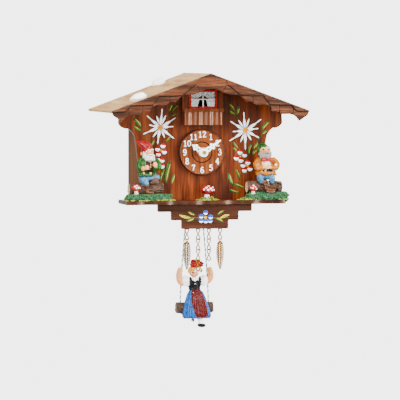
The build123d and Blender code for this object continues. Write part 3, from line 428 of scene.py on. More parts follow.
LOOKS = {
    "facade": wood(
        "facade_wood", (0.014, 0.0018, 0.0005), (0.062, 0.0085, 0.0012), (0.17, 0.034, 0.0042), 2, 0.3,
        0.35,
    ),
    "balcony": wood(
        "balcony_wood", (0.024, 0.0040, 0.0012), (0.080, 0.0150, 0.0030), (0.15, 0.034, 0.0060), 2, 0.3,
        0.4,
    ),
    "dial": wood(
        "dial_wood", (0.040, 0.0058, 0.0010), (0.11, 0.022, 0.0038), (0.22, 0.058, 0.012), 2, 0.3, 0.4,
        scale=1.3,
    ),
    "dark": wood(
        "dark_wood", (0.0050, 0.0011, 0.0006), (0.020, 0.0042, 0.0018), (0.046, 0.011, 0.0046), 0, 0.3, 0.5,
    ),
    "barge": wood(
        "barge_wood", (0.0040, 0.0010, 0.0006), (0.026, 0.0060, 0.0024), (0.115, 0.030, 0.010), 0, 0.4,
        0.25, scale=1.6,
    ),
    # Near-black wood laid in cuts, in grooves and under edges: painted shade.
    "painted_shade": wood(
        "painted_shade_wood", (0.0020, 0.0010, 0.0008), (0.0060, 0.0020, 0.0012), (0.012, 0.0040, 0.0020), 0, 0.7,
        0.0,
    ),
    "side": wood(
        "side_wood", (0.050, 0.016, 0.0055), (0.090, 0.032, 0.011), (0.13, 0.052, 0.020), 2, 0.7, 0.0,
    ),
    "plywood": wood(
        "plywood", (0.26, 0.13, 0.045), (0.42, 0.25, 0.105), (0.58, 0.38, 0.18), 1, 0.8, 0.0, 0.04,
    ),
    "raw": wood("raw_wood", (0.60, 0.42, 0.22), (0.74, 0.58, 0.36), (0.84, 0.70, 0.48), 2, 0.7, 0.0),
    "white": plastic("white_plastic", (0.86, 0.86, 0.83), 0.3),
    "black": plastic("black_plastic", (0.018, 0.018, 0.020), 0.45),
    "gear": plastic("gear_plastic", (0.72, 0.68, 0.54), 0.4),
    "brass": metal("brass", (0.72, 0.50, 0.20), (0.34, 0.20, 0.07), 0.25),
    "gold": metal("gold_plate", (0.26, 0.12, 0.014), (0.05, 0.018, 0.003), 0.25, 0.02, 2.0),
    "steel": metal("steel", (0.58, 0.58, 0.57), (0.28, 0.28, 0.28), 0.32),
    "copper": metal("copper_wire", (0.62, 0.25, 0.11), (0.3, 0.1, 0.05), 0.3, 0.05, 2.0),
    "board": plastic("circuit_board", (0.02, 0.16, 0.06), 0.35, 0.2),
    "cell": plastic("cell_sleeve", (0.02, 0.10, 0.07), 0.25, 0.15),
    "paper": plastic("speaker_paper", (0.03, 0.03, 0.03), 0.8, 0.3, 0.05),
    "red": paint("red_window", (0.30, 0.0060, 0.0030), 0.7, 0.3, 0.5),
    "bars": paint("white_bars", (0.86, 0.86, 0.84), 0.85, 0.35, 0.3),
    "stone": paint("pebble", (0.88, 0.87, 0.84), 0.86, 0.55, 0.1, 0.08, 0.5, 0.3),
    "curtain": paint("curtain_print", (0.80, 0.82, 0.85), 0.72, 0.5, 0.0, 0.03, 1.5),
    "fold": paint("curtain_fold", (0.22, 0.23, 0.25), 0.6, 0.5, 0.0, 0.03, 1.5),
    "pane": paint("dark_pane", (0.012, 0.012, 0.014), 0.5, 0.15, 0.6),
    "petal": paint("petal_white", (0.86, 0.87, 0.90), 0.88, 0.35, 0.4, 0.04, 1.4, 0.15),
    "petal_shade": paint("petal_shade", (0.42, 0.50, 0.66), 0.75, 0.35, 0.4, 0.04, 1.4, 0.3),
    "pollen": paint("pollen", (0.52, 0.22, 0.008), 0.6, 0.4, 0.3, 0.04, 1.4),
    "berry": paint("blossom_red", (0.26, 0.0035, 0.0030), 0.6, 0.3, 0.5, 0.04, 1.4),
    "leaf": paint("leaf_green", (0.008, 0.040, 0.008), 0.5, 0.35, 0.4, 0.04, 1.4),
    "sprig": paint("sprig_green", (0.032, 0.10, 0.009), 0.6, 0.35, 0.4, 0.04, 1.4),
    "butter": paint("leaf_yellow", (0.42, 0.32, 0.022), 0.6, 0.35, 0.4, 0.04, 1.4),
    "gentian": paint("gentian_blue", (0.004, 0.050, 0.26), 0.5, 0.3, 0.5, 0.04, 1.4),
    "fern": paint("moss_fern", (0.055, 0.115, 0.012), 0.5, 0.6, 0.05, 0.1, 1.2, 0.8),
    "straw": paint("moss_straw", (0.42, 0.30, 0.020), 0.5, 0.6, 0.05, 0.1, 1.2, 0.8),
    "lime": paint("moss_lime", (0.30, 0.38, 0.016), 0.5, 0.6, 0.05, 0.1, 1.2, 0.8),
    "cone": metal("cone_gilt", (0.22, 0.09, 0.014), (0.05, 0.018, 0.003), 0.3, 0.03),
    "cone_high": paint("cone_highlight", (0.86, 0.78, 0.60), 0.6, 0.3, 0.6, 0.03, 2.0),
}


def thread(name, colour):
    """Spun yarn: fine fibres along a matt strand."""
    look = Look(name, Sheen_Weight=0.4, Sheen_Roughness=0.5)
    fibre = look.noise((5.0, 5.0, 9.0), 3.0, 0.6, 0.4)
    tone = look.ramp(fibre, (0.35, tuple(c * 0.55 for c in colour)), (0.6, colour))
    return look.set(Base_Color=tone, Roughness=0.85, Normal=look.bump(fibre, 0.06))


def assign(look, *names):
    for name in names:
        if not NODES[name].material_slots:
            NODES[name].data.materials.append(LOOKS[look])
        for slot in NODES[name].material_slots:
            slot.material = LOOKS[look]


assign("facade", "facade_panel", "window_bay")
assign("balcony", "balcony_rail")
assign("dial", "dial_disc")
assign("dark", "case_floor", "figure_platform", "stepped_apron")
assign("barge", "bargeboard")
assign("side", "left_side_panel", "right_side_panel", "back_panel")
assign("plywood", "roof_board_left", "roof_board_right")
assign("raw", "corner_battens")
assign("white", "hour_hand", "minute_hand", "switch_slider", "dial_numerals")
assign("black", "setting_knob", "movement_front_shell", "movement_rear_shell", "battery_holder")
assign("black", "sound_switch", "swing_drive_frame")
assign("gear", "hour_wheel", "motion_wheel")
assign("brass", "dial_nut", "hand_nut", "minute_arbor", "screw_eyes")
assign("steel", "back_panel_screws", "battery_contacts", "speaker_frame", "swing_yoke", "swing_magnet")
assign("copper", "stepper_motor", "drive_coil")
assign("board", "movement_circuit_board", "sound_module_board")
assign("cell", "batteries")
assign("paper", "speaker_cone")
assign("red", "window_frame")


# ------------------------------------------------------------------ cords in place
cord_looks = [thread("cord_green", (0.003, 0.12, 0.075)), thread("cord_white", (0.80, 0.84, 0.80))]
for side, name in ((-1, "left"), (1, "right")):
    route = spline_points("route", SWING_CORDS[side])
    rope = piece(
        f"twisted_cord_{name}", twisted(f"twisted_cord_{name}", route), cord_looks, "swing",
        f"swing_cord_{name}", finish="cord_twine",
    )
route = spline_points("route", TIE_CORD)
tie = piece(
    "twisted_tie", twisted("twisted_tie", route), cord_looks, "swing", "seat_tie_cord", finish="cord_twine",
)


# ------------------------------------------------------------------ bargeboard
# Lower edges (x, z) from the centre to the eave: the whole board, and the raised row of shingles.
BARGE_EDGE = (
    (0.0, 7.1), (4.5, 7.1), (10.7, 5.1), (13.8, 3.0), (20.0, 1.2), (28.6, 0.8), (32.2, 0.1),
    (35.8, -3.1), (40.1, -6.9), (45.8, -6.6), (48.0, -8.7), (51.6, -10.5), (61.0, -10.1),
    (66.1, -12.3), (68.9, -17.2), (76.5, -18.0), (77.7, -20.7), (84.9, -20.7), (88.6, -20.5),
    (93.6, -21.9), (96.9, -24.4), (99.7, -28.2), (109.2, -21.6), (111.0, -17.0),
)
SHINGLE_EDGE = (
    (17.8, 12.1), (22.5, 8.9), (25.4, 6.4), (32.9, 0.4), (43.7, -0.3), (58.8, -0.3),
    (61.5, -4.5), (66.0, -9.8), (77.0, -10.3), (90.5, -10.8), (93.5, -14.6), (97.5, -17.6),
    (109.6, -18.0), (111.0, -17.8),
)
# Saw cuts between the lower shingles: (x, z) at the foot and head of each, on both halves.
LOWER_CUTS = (
    ((12.5, 3.6), (17.0, 12.0)), ((30.5, 0.2), (28.5, 3.6)), ((47.0, -7.6), (46.5, -0.6)),
    ((67.0, -14.0), (65.5, -9.6)), ((77.0, -20.0), (76.6, -10.6)), ((92.0, -21.5), (92.5, -13.5)),
)


BARGE_COLUMNS, LOW_ROWS, HIGH_ROWS = 444, 22, 26
SHINGLE_STEP = 1.5            # how far the raised row stands before the board
CUT_WIDTH, CUT_DEPTH = 0.75, 0.15


def roof_line(x):
    return RIDGE_Z - ROOF_SLOPE * abs(x)


def edge_at(edge, x):
    x = abs(x)
    if x <= edge[0][0]:
        return None
    for (x0, z0), (x1, z1) in zip(edge, edge[1:]):
        if x <= x1:
            return z0 + (z1 - z0) * (x - x0) / max(x1 - x0, 1e-6)
    return edge[-1][1]


def near_cut(x, z, cuts):
    """How deep a carved cut is here, from 0 to 1."""
    depth = 0.0
    for (x0, z0), (x1, z1) in cuts:
        t = min(max((z - z0) / (z1 - z0), 0.0), 1.0)
        away = abs(abs(x) - (x0 + (x1 - x0) * t)) + max(0.0, z0 - 0.5 - z, z - z1) * 0.6
        depth = max(depth, 1.0 - away / CUT_WIDTH)
    return depth


def carved(x, z):
    """Long chisel strokes that follow the roof's slope a little."""
    flow = z + 0.12 * abs(x) * (1 if z > -5 else 0.6) + 1.1 * noise.noise(Vector((x * 0.045, z * 0.05, 3.0)))
    broad = noise.noise(Vector((x * 0.035, flow * 0.95, 7.0)))
    return broad + 0.55 * noise.noise(Vector((x * 0.08, flow * 2.3, 1.0)))


def make_bargeboard():
    build = bmesh.new()
    columns = [-ROOF_HALF + 2 * ROOF_HALF * k / BARGE_COLUMNS for k in range(BARGE_COLUMNS + 1)]
    raised, base = BARGE_FACE, BARGE_FACE + SHINGLE_STEP
    rings = []
    for x in columns:
        top = roof_line(x)
        foot = edge_at(BARGE_EDGE, x) if abs(x) > 0.01 else BARGE_EDGE[0][1]
        foot = BARGE_EDGE[0][1] if foot is None else foot
        hem = edge_at(SHINGLE_EDGE, x)
        hem = max(foot, min(top - 0.9, top if hem is None else hem))
        ring = [(x, BARGE_BACK, foot)]
        ring.append((x, base + 0.9, foot))
        for k in range(LOW_ROWS):
            z = foot + (hem - foot) * k / (LOW_ROWS - 1)
            y = base + 0.22 - 0.34 * carved(x, z) + CUT_DEPTH * near_cut(x, z, LOWER_CUTS)
            y += 0.9 * max(0.0, 1 - (z - foot) / 0.8) * 0.5
            ring.append((x, max(y, base - 0.4), z))
        for k in range(HIGH_ROWS):
            z = hem + (top - hem) * k / (HIGH_ROWS - 1)
            y = raised + 0.35 - 0.3 * carved(x, z)
            y += 0.7 * max(0.0, 1 - (z - hem) / 0.7) + 0.9 * max(0.0, 1 - (top - z) / 0.8)
            ring.append((x, max(y, raised), z))
        ring.append((x, BARGE_BACK, top))
        rings.append([build.verts.new(p) for p in ring])
    bridge(build, rings)
    # Faces deep in a saw cut take the near-black wood as painted shade, and a strip just under the raised
    # shingles' edge takes it as a painted shadow.
    for face in build.faces:
        spot = face.calc_center_median()
        cut = near_cut(spot.x, spot.z, LOWER_CUTS)
        hem = edge_at(SHINGLE_EDGE, spot.x)
        shadow = hem is not None and -0.9 < spot.z - hem < 0.1
        if spot.y < BARGE_BACK - 1.0 and (cut > 0.45 or shadow):
            face.material_index = 1
    return as_mesh("carved_bargeboard", build)


piece(
    "carved_bargeboard", make_bargeboard(), [LOOKS["barge"], LOOKS["painted_shade"]], "case", "bargeboard",
    finish="dark_wood",
)


# ------------------------------------------------------------------ roof stones
def lump(build, centre, radii, seed, rough=0.2):
    """An uneven pebble that lies on the left slope."""
    shape = bmesh.ops.create_icosphere(build, subdivisions=4, radius=1.0)
    spin = Euler((0, -math.atan(ROOF_SLOPE), 0)).to_matrix()
    for vert in shape["verts"]:
        away = vert.co.copy()
        broad = noise.noise(away * 1.3 + Vector((seed, seed * 2, 0)))
        swell = 1 + rough * broad + 0.3 * rough * noise.noise(away * 4)
        vert.co = spin @ Vector([a * r * swell for a, r in zip(away, radii)]) + Vector(centre)


STONES = ((-79.0, -124.0), (-37.0, -36.0))  # (x, y)
STONE_RADII, STONE_LIFT = (9.6, 7.4, 4.5), 3.2
build = bmesh.new()
for number, (x, y) in enumerate(STONES):
    wide, deep, high = STONE_RADII
    lump(build, (x, y, roof_line(x) + STONE_LIFT), (wide - number, deep, high), number * 3.1)
piece(
    "roof_pebbles", as_mesh("roof_pebbles", build), [LOOKS["stone"]], "case", "roof_stones",
    finish="roof_stone",
)


# ------------------------------------------------------------------ painted strokes
def stroke(build, points, widths, y, height=0.22, index=0):
    """One raised brush stroke on an upright face: points (x, z), a width for each, a domed front."""
    line = smooth_line([(p[0], p[1], w) for p, w in zip(points, widths)], 7)
    profile = (
        (-1.0, 0.25), (-0.94, -0.35), (-0.55, -0.85), (0.0, -1.0), (0.55, -0.85), (0.94, -0.35),
        (1.0, 0.25),
    )
    rings = []
    for k, (x, z, width) in enumerate(line):
        after = line[min(k + 1, len(line) - 1)]
        before = line[max(k - 1, 0)]
        along = Vector((after[0] - before[0], 0, after[1] - before[1])).normalized()
        side = Vector((along.z, 0, -along.x))
        half = max(width, 0.12) / 2
        rise = height * min(1.0, 0.35 + half)
        rings.append([build.verts.new(Vector((x, y + d * rise, z)) + side * (s * half)) for s, d in profile])
    bridge(build, rings, index=index)


def disc_dot(build, x, z, radius, y, height, index, squash=1.0):
    """A round dab of paint."""
    turns = [2 * math.pi * s / 16 for s in range(16)]
    rings = []
    for scale, rise in ((1.0, 0.3), (0.96, -0.35), (0.75, -0.8), (0.35, -1.0)):
        wide = radius * scale
        places = [(x + wide * math.cos(a), y + rise * height, z + squash * wide * math.sin(a)) for a in turns]
        rings.append([build.verts.new(place) for place in places])
    bridge(build, rings, index=index)


# ------------------------------------------------------------------ dial
# The strokes of each digit as points (across, up) in a box one unit high.
DIGITS = {
    "0": [
        [
            (0.30, 1.0), (0.08, 0.80), (0.05, 0.5), (0.08, 0.20), (0.30, 0.0),
            (0.52, 0.20), (0.55, 0.5), (0.52, 0.80), (0.30, 1.0),
        ],
    ],
    "1": [
        [(0.10, 0.78), (0.28, 0.92), (0.32, 0.97)],
        [(0.32, 1.0), (0.32, 0.0)],
        [(0.10, 0.0), (0.55, 0.0)],
    ],
    "2": [
        [(0.07, 0.76), (0.12, 0.93), (0.31, 1.0), (0.52, 0.88), (0.52, 0.68), (0.36, 0.45), (0.08, 0.04)],
        [(0.06, 0.03), (0.56, 0.03), (0.57, 0.17)],
    ],
    "3": [
        [(0.07, 0.82), (0.16, 0.97), (0.33, 1.0), (0.51, 0.88), (0.49, 0.64), (0.27, 0.54)],
        [(0.27, 0.54), (0.52, 0.46), (0.56, 0.22), (0.38, 0.02), (0.17, 0.02), (0.05, 0.17)],
    ],
    "4": [
        [(0.44, 1.0), (0.05, 0.32)],
        [(0.04, 0.30), (0.60, 0.30)],
        [(0.44, 1.0), (0.44, 0.0)],
        [(0.28, 0.0), (0.58, 0.0)],
    ],
    "5": [
        [(0.52, 0.97), (0.13, 0.97)],
        [(0.13, 0.97), (0.10, 0.55)],
        [(0.10, 0.55), (0.30, 0.64), (0.52, 0.50), (0.54, 0.20), (0.35, 0.0), (0.14, 0.03), (0.05, 0.17)],
    ],
    "6": [
        [
            (0.50, 0.90), (0.35, 1.0), (0.15, 0.86), (0.06, 0.50), (0.08, 0.18),
            (0.30, 0.0), (0.52, 0.14), (0.53, 0.42), (0.32, 0.58), (0.10, 0.42),
        ],
    ],
    "7": [
        [(0.06, 0.80), (0.08, 0.96)],
        [(0.06, 0.96), (0.56, 0.96)],
        [(0.56, 0.96), (0.34, 0.50), (0.26, 0.0)],
    ],
    "8": [
        [
            (0.30, 0.54), (0.11, 0.68), (0.13, 0.92), (0.30, 1.0), (0.48, 0.92), (0.50, 0.68), (0.30, 0.54),
            (0.07, 0.36), (0.08, 0.10), (0.30, 0.0), (0.53, 0.10), (0.54, 0.36), (0.30, 0.54),
        ],
    ],
    "9": [
        [
            (0.10, 0.10), (0.25, 0.0), (0.45, 0.14), (0.54, 0.50), (0.52, 0.82),
            (0.30, 1.0), (0.08, 0.86), (0.07, 0.58), (0.28, 0.42), (0.50, 0.58),
        ],
    ],
}
NUMERAL_R, NUMERAL_HIGH = 19.8, 6.2
DIGIT_PITCH, DIGIT_GAP, DIGIT_BRUSH, DIGIT_RISE = 4.6, 0.9, 0.98, 0.38
build = bmesh.new()
for hour in range(1, 13):
    angle = math.radians(30 * hour)
    text = str(hour)
    wide = DIGIT_PITCH * len(text) - DIGIT_GAP
    left = NUMERAL_R * math.sin(angle) - wide / 2
    foot = DIAL.z + NUMERAL_R * math.cos(angle) - NUMERAL_HIGH / 2
    for place, digit in enumerate(text):
        for path in DIGITS[digit]:
            start = left + place * DIGIT_PITCH + 0.1
            points = [(start + NUMERAL_HIGH * u, foot + NUMERAL_HIGH * v) for u, v in path]
            if len(points) == 2:
                points = [points[0], tuple((a + b) / 2 for a, b in zip(*points)), points[1]]
            stroke(build, points, [DIGIT_BRUSH] * len(points), DIAL.y, DIGIT_RISE)
piece(
    "raised_numerals", as_mesh("raised_numerals", build), [LOOKS["white"]], "case", "dial_numerals",
    finish="white_plastic",
)

# Outlines (radius, depth behind the dial's face) of the inner groove ring and the outer rim.
GROOVE_RING = (
    (10.75, 0.55), (10.75, 0.1), (10.95, 0.25), (11.3, 0.4), (11.65, 0.25), (11.85, 0.1), (11.85, 0.55),
)
RIM_RING = (
    (24.3, 0.1), (24.5, -0.15), (24.85, -0.1), (25.25, 0.35), (25.5, 1.0), (25.55, 4.6), (24.3, 4.6),
)


def lathe(build, profile, index, turns=96):
    """A ring round the dial's axis from a closed outline."""
    rings = []
    for step in range(turns):
        a = 2 * math.pi * step / turns
        places = [(r * math.sin(a), DIAL.y + back, DIAL.z + r * math.cos(a)) for r, back in profile]
        rings.append([build.verts.new(place) for place in places])
    bridge(build, rings, closed=True, index=index)


# The ring laid in the groove is near-black: painted shade in the groove.
build = bmesh.new()
lathe(build, GROOVE_RING, 0)
lathe(build, RIM_RING, 1)
piece(
    "dial_rings", as_mesh("dial_rings", build), [LOOKS["painted_shade"], LOOKS["dark"]], "case",
    finish="facade_wood",
)


# ------------------------------------------------------------------ window curtains
PANE_HALF, PANE_SPREAD = 0.24, 0.16   # how wide the lace stands open, at the bar and further down
FOLD_RAYS = 30
COLUMNS, ROWS = 128, 84


def fan_fold(u, v):
    """The wave of the folds that fan out from the middle of the cross bar."""
    return math.sin(math.atan2(v * 1.1 + 0.25, u + 0.02) * FOLD_RAYS)


def lace_wave(u, v):
    return math.sin((u * 3.2 - v) * 15) * math.sin((u * 2.4 + v) * 19)


def curtain_relief(u, v):
    """How far the sheet lies back at (u, v), each from -1 to 1."""
    if v > 0:
        return 0.26 * fan_fold(u, v) * min(1.0, 3 * u + 0.3)
    if u > PANE_HALF - PANE_SPREAD * v:
        return 0.20 * lace_wave(u, v) + 0.06
    return 0.28


def curtain_look(u, v):
    """0 for cloth, 1 for the dark pane, 2 for a fold or a hole in the lace."""
    if (v < 0 and u < PANE_HALF - PANE_SPREAD * v) or 0 < v < 0.5 - 1.2 * u:
        return 1
    hole = v < -0.08 and u > 0.2 and lace_wave(u, v) < -0.42
    fold = v > 0.06 and fan_fold(u, v) < -0.62 and u > 0.1
    return 2 if fold or hole else 0


def make_curtains():
    """Two drawn curtains above the cross bar and two lace ones below, on one printed sheet."""
    low, high = low_high("curtain_plate")
    mid_x, mid_z = (low.x + high.x) / 2, (low.z + high.z) / 2
    half_x, half_z = (high.x - low.x) / 2, (high.z - low.z) / 2
    build = bmesh.new()
    rows = []
    for j in range(ROWS + 1):
        v = -1 + 2 * j / ROWS
        row = []
        for i in range(COLUMNS + 1):
            u = -1 + 2 * i / COLUMNS
            back = low.y + 0.18 + 0.9 * curtain_relief(abs(u), v)
            row.append(build.verts.new((mid_x + u * half_x, back, mid_z + v * half_z)))
        rows.append(row)
    back = [[build.verts.new((v.co.x, high.y, v.co.z)) for v in row] for row in rows]
    for j in range(ROWS):
        for i in range(COLUMNS):
            front = build.faces.new((rows[j][i], rows[j][i + 1], rows[j + 1][i + 1], rows[j + 1][i]))
            u = abs(-1 + 2 * (i + 0.5) / COLUMNS)
            front.material_index = curtain_look(u, -1 + 2 * (j + 0.5) / ROWS)
            build.faces.new((back[j][i], back[j + 1][i], back[j + 1][i + 1], back[j][i + 1]))
    rims = [[g[0], [r[-1] for r in g], g[-1][::-1], [r[0] for r in g][::-1]] for g in (rows, back)]
    for front_run, back_run in zip(*rims):
        for k in range(len(front_run) - 1):
            build.faces.new((front_run[k + 1], front_run[k], back_run[k], back_run[k + 1]))
    return as_mesh("window_curtains", build)


piece(
    "window_curtains", make_curtains(), [LOOKS["curtain"], LOOKS["pane"], LOOKS["fold"]], "case",
    "curtain_plate", finish="curtain_print",
)

# The cross bars are white, the outer bars red.
low, high = low_high("window_frame")
build = bmesh.new()
mid_z = (low.z + high.z) / 2
FRAME_BAR, BAR_THICK = 1.6, 0.9
upright = ((-0.75, 0.75), (low.z + FRAME_BAR, high.z - FRAME_BAR))
crosswise = ((low.x + FRAME_BAR, high.x - FRAME_BAR), (mid_z - 0.6, mid_z + 0.6))
for (x0, x1), (z0, z1) in (upright, crosswise):
    centre = Vector(((x0 + x1) / 2, low.y + 0.35, (z0 + z1) / 2))
    place = Matrix.Translation(centre) @ Matrix.Diagonal((x1 - x0, BAR_THICK, z1 - z0, 1))
    shape = bmesh.ops.create_cube(build, size=1.0, matrix=place)
    edges = [e for e in build.edges if e.verts[0] in shape["verts"]]
    bmesh.ops.bevel(build, geom=edges, offset=0.2, segments=2, affect="EDGES")
piece("window_cross", as_mesh("window_cross", build), [LOOKS["bars"]], "case", finish="white_plastic")


# ------------------------------------------------------------------ chains and cones
CHAINS = {
    "left_outer": (-18.6, 3), "left_inner": (-5.9, 6), "right_inner": (6.3, 5), "right_outer": (19.1, 3),
}
CHAIN_Y, CHAIN_TOP = -96.6, -124.35
LINK_PITCH, LINK_HALF, WIRE_R = 11.65, 6.18, 0.62
LOOP_HALF = 2.05              # half the width of one loop of a link
LOOP_TURN, CHAIN_TURN = 33, 12  # each loop's turn about the chain, and the whole chain's, in degrees


def make_chain(x, count):
    """Figure-of-eight links; the two loops of each are turned apart and the wire crosses itself."""
    build = bmesh.new()
    for number in range(count):
        middle = CHAIN_TOP - number * LINK_PITCH - LINK_HALF
        points = []
        for step in range(56):
            t = 2 * math.pi * step / 56
            rise = LINK_HALF * math.cos(t)
            out = LOOP_HALF * math.sin(2 * t) * (1 + 0.12 * abs(math.cos(t)))
            turn = math.radians(LOOP_TURN * max(-1.0, min(1.0, rise / (0.3 * LINK_HALF))) - CHAIN_TURN)
            lift = 0.42 * math.sin(t) * math.exp(-(rise / 1.6) ** 2)
            points.append((
                x + out * math.cos(turn) - lift * math.sin(turn),
                CHAIN_Y + out * math.sin(turn) + lift * math.cos(turn), middle + rise,
            ))
        wire(build, points, WIRE_R, 8, closed=True)
    return build


for place, (x, count) in CHAINS.items():
    name = f"twisted_chain_{place}"
    mesh = as_mesh(name, make_chain(x, count))
    piece(name, mesh, [LOOKS["gold"]], f"{place}_chain", f"chain_{place}", finish="gold_plate")

CONE_COLUMNS, CONE_ROWS = 8, 15
SCALE_ACROSS, SCALE_DOWN = 14, 10  # mesh faces over each scale of a cone
CONE_HEAD = 4.2                    # the ring and collar above the scales
RING_R = 1.35


def make_cone(node):
    """A cast pine cone: rows of overlapping scales on a spindle, a collar and a ring."""
    low, high = low_high(node)
    x, y = (low.x + high.x) / 2, (low.y + high.y) / 2
    top, tip = high.z - CONE_HEAD, low.z
    radius = (high.x - low.x) / 2
    build = bmesh.new()
    around, down = CONE_COLUMNS * SCALE_ACROSS, CONE_ROWS * SCALE_DOWN
    rings = []
    for j in range(down + 1):
        t = j / down
        z = top + (tip - top) * t
        body = radius * (math.sin(math.pi * min(1.0, 0.16 + 0.84 * t) ** 0.92) ** 0.62 if t < 0.97 else 0.25)
        body = max(body, 0.5)
        ring = []
        for i in range(around):
            column = i / SCALE_ACROSS
            stagger = 0.5 * (int(column) % 2)
            row = t * CONE_ROWS + stagger
            across = math.sin(math.pi * (column % 1.0)) ** 0.6
            along = (1 - (row % 1.0)) ** 0.7 * min(1.0, (row % 1.0) * 5)
            out = body * (0.78 + 0.22 * across * along)
            angle = 2 * math.pi * i / around
            ring.append(build.verts.new((x + out * math.cos(angle), y + out * math.sin(angle), z)))
        rings.append(ring)
    bridge(build, rings)
    # Faces on the middle of each scale take the cream paint: a painted highlight.
    for face in build.faces:
        spot = face.calc_center_median()
        t = (top - spot.z) / (top - tip)
        column = (math.atan2(spot.y - y, spot.x - x) / (2 * math.pi) * CONE_COLUMNS) % CONE_COLUMNS
        row = (t * CONE_ROWS + 0.5 * (int(column) % 2)) % 1.0
        if abs(column % 1.0 - 0.5) < 0.23 and 0.16 < row < 0.80 and 0.05 < t < 0.93:
            face.material_index = 1
    wire(build, [(x, y, top - 0.5), (x, y, top + 0.7), (x, y, top + 1.5)], [2.4, 1.7, 0.9], 20)
    turns = [2 * math.pi * s / 28 for s in range(28)]
    loop = [(x + RING_R * math.cos(a), y, top + 1.0 + RING_R + RING_R * math.sin(a)) for a in turns]
    wire(build, loop, 0.4, 8, closed=True)
    return build


for side, chain in (("left", "left_outer_chain"), ("right", "right_outer_chain")):
    name = f"cast_cone_{side}"
    mesh = as_mesh(name, make_cone(f"pine_cone_{side}"))
    piece(name, mesh, [LOOKS["cone"], LOOKS["cone_high"]], chain, f"pine_cone_{side}", finish="gold_plate")


# ------------------------------------------------------------------ painted flowers
def petal(build, heart, tip, width, index, y):
    """A pulled brush stroke: a fat drop, a waist and a thin drop at the tip."""
    (x0, z0), (x1, z1) = heart, tip
    at = (0.14, 0.26, 0.42, 0.56, 0.68, 0.80, 0.92, 1.0)
    shape = (0.25, 0.80, 1.0, 0.66, 0.34, 0.40, 0.42, 0.08)
    bend = 0.35 * math.sin(3.7 * x1 + z1)
    dx, dz = x1 - x0, z1 - z0
    length = math.hypot(dx, dz)
    points = []
    for t in at:
        sway = bend * math.sin(math.pi * t)
        points.append((x0 + dx * t + sway * dz / length, z0 + dz * t - sway * dx / length))
    stroke(build, points, [width * s for s in shape], y, 0.26, index)


def drop(build, start, end, width, y, index=0, bow=0.0, height=0.22):
    """A plain leaf-shaped stroke from start to end."""
    (x0, z0), (x1, z1) = start, end
    dx, dz = x1 - x0, z1 - z0
    length = math.hypot(dx, dz)
    points, widths = [], []
    for t in (0.0, 0.2, 0.45, 0.7, 0.9, 1.0):
        sway = bow * math.sin(math.pi * t)
        points.append((x0 + dx * t + sway * dz / length, z0 + dz * t - sway * dx / length))
        widths.append(width * (0.12 + 0.88 * math.sin(math.pi * (0.06 + 0.88 * t)) ** 1.1))
    stroke(build, points, widths, y, height, index)


def between(start, end, share):
    return tuple(a + (b - a) * share for a, b in zip(start, end))


def leaf(build, start, end, width, y, indexes=(0, 1, 2), bow=0.5):
    """A leaf in two greens with a yellow edge."""
    (x0, z0), (x1, z1) = start, end
    dx, dz = x1 - x0, z1 - z0
    length = math.hypot(dx, dz)
    nx, nz = dz / length, -dx / length
    drop(build, start, end, width, y, indexes[0], bow)
    for shift, index, thin in ((0.22, indexes[1], 0.36), (-0.22, indexes[2], 0.22)):
        a = (x0 + nx * width * shift + dx * 0.12, z0 + nz * width * shift + dz * 0.12)
        b = (x0 + nx * width * shift * 0.6 + dx * 0.9, z0 + nz * width * shift * 0.6 + dz * 0.9)
        drop(build, a, b, width * thin, y - 0.14, index, bow, 0.2)


# Places on the facade are (x, z). Each edelweiss: its heart, its long petals' tips, its short ones'.
EDELWEISS = (
    (
        (-46.3, -35.7),
        (
            (-44.3, -15.0), (-61.9, -22.5), (-28.7, -24.9), (-31.3, -34.9),
            (-30.8, -48.2), (-49.5, -54.1), (-65.9, -43.3), (-59.2, -33.0),
        ),
        ((-50.6, -23.1), (-40.0, -22.4), (-54.6, -46.3), (-41.5, -47.2)),
    ),
    (
        (50.7, -39.5),
        (
            (48.8, -18.8), (33.1, -29.2), (68.9, -27.2), (65.6, -37.7),
            (66.4, -48.1), (50.7, -61.6), (32.2, -51.4), (36.0, -40.9),
        ),
        ((42.6, -28.1), (54.9, -26.5), (45.1, -52.6), (57.2, -50.5)),
    ),
)
LEAVES = (  # start, end, width
    ((-76.3, -25.8), (-68.1, -35.2), 4.4), ((-76.6, -34.0), (-68.1, -39.6), 3.4),
    ((-33.0, -10.0), (-37.5, -18.8), 3.0), ((-25.6, -10.0), (-34.1, -19.4), 3.4),
    ((-27.3, -18.8), (-34.1, -23.2), 2.6), ((-39.8, -52.0), (-34.2, -44.3), 2.8),
    ((-53.4, -48.6), (-56.8, -56.3), 2.8), ((-35.7, -73.1), (-40.5, -97.4), 5.6),
    ((-30.8, -87.0), (-34.2, -99.4), 3.4), ((-42.1, -80.8), (-46.8, -96.2), 3.2),
    ((31.6, -9.7), (38.5, -18.1), 3.4), ((32.0, -16.9), (38.8, -22.1), 3.0),
    ((43.4, -12.5), (40.8, -22.5), 3.0), ((78.3, -29.0), (69.6, -38.8), 4.4),
    ((75.6, -38.8), (69.1, -43.9), 3.2), ((36.3, -52.0), (42.5, -59.7), 2.8),
    ((35.9, -58.8), (40.8, -63.1), 2.4), ((57.4, -54.7), (54.3, -66.6), 3.2),
    ((65.2, -52.2), (59.1, -60.5), 3.2), ((64.4, -60.6), (58.8, -67.2), 2.8),
    ((38.8, -81.9), (44.5, -93.9), 3.4), ((31.1, -86.8), (36.3, -100.5), 4.2),
    ((36.3, -99.4), (50.3, -104.0), 3.4), ((31.9, -105.2), (43.4, -108.8), 3.0),
)
STEMS = (
    ((-46.0, -54.0), (-44.5, -70.0), (-41.0, -84.0), (-38.5, -99.0)),
    ((-71.0, -36.0), (-64.0, -41.0), (-58.0, -47.0)),
    ((51.0, -60.0), (49.0, -76.0), (45.0, -90.0), (40.0, -106.0)),
    ((72.0, -40.0), (66.0, -50.0), (58.0, -62.0)),
    ((-35.5, -19.0), (-38.5, -27.0)), ((38.5, -19.0), (42.0, -27.0)),
)
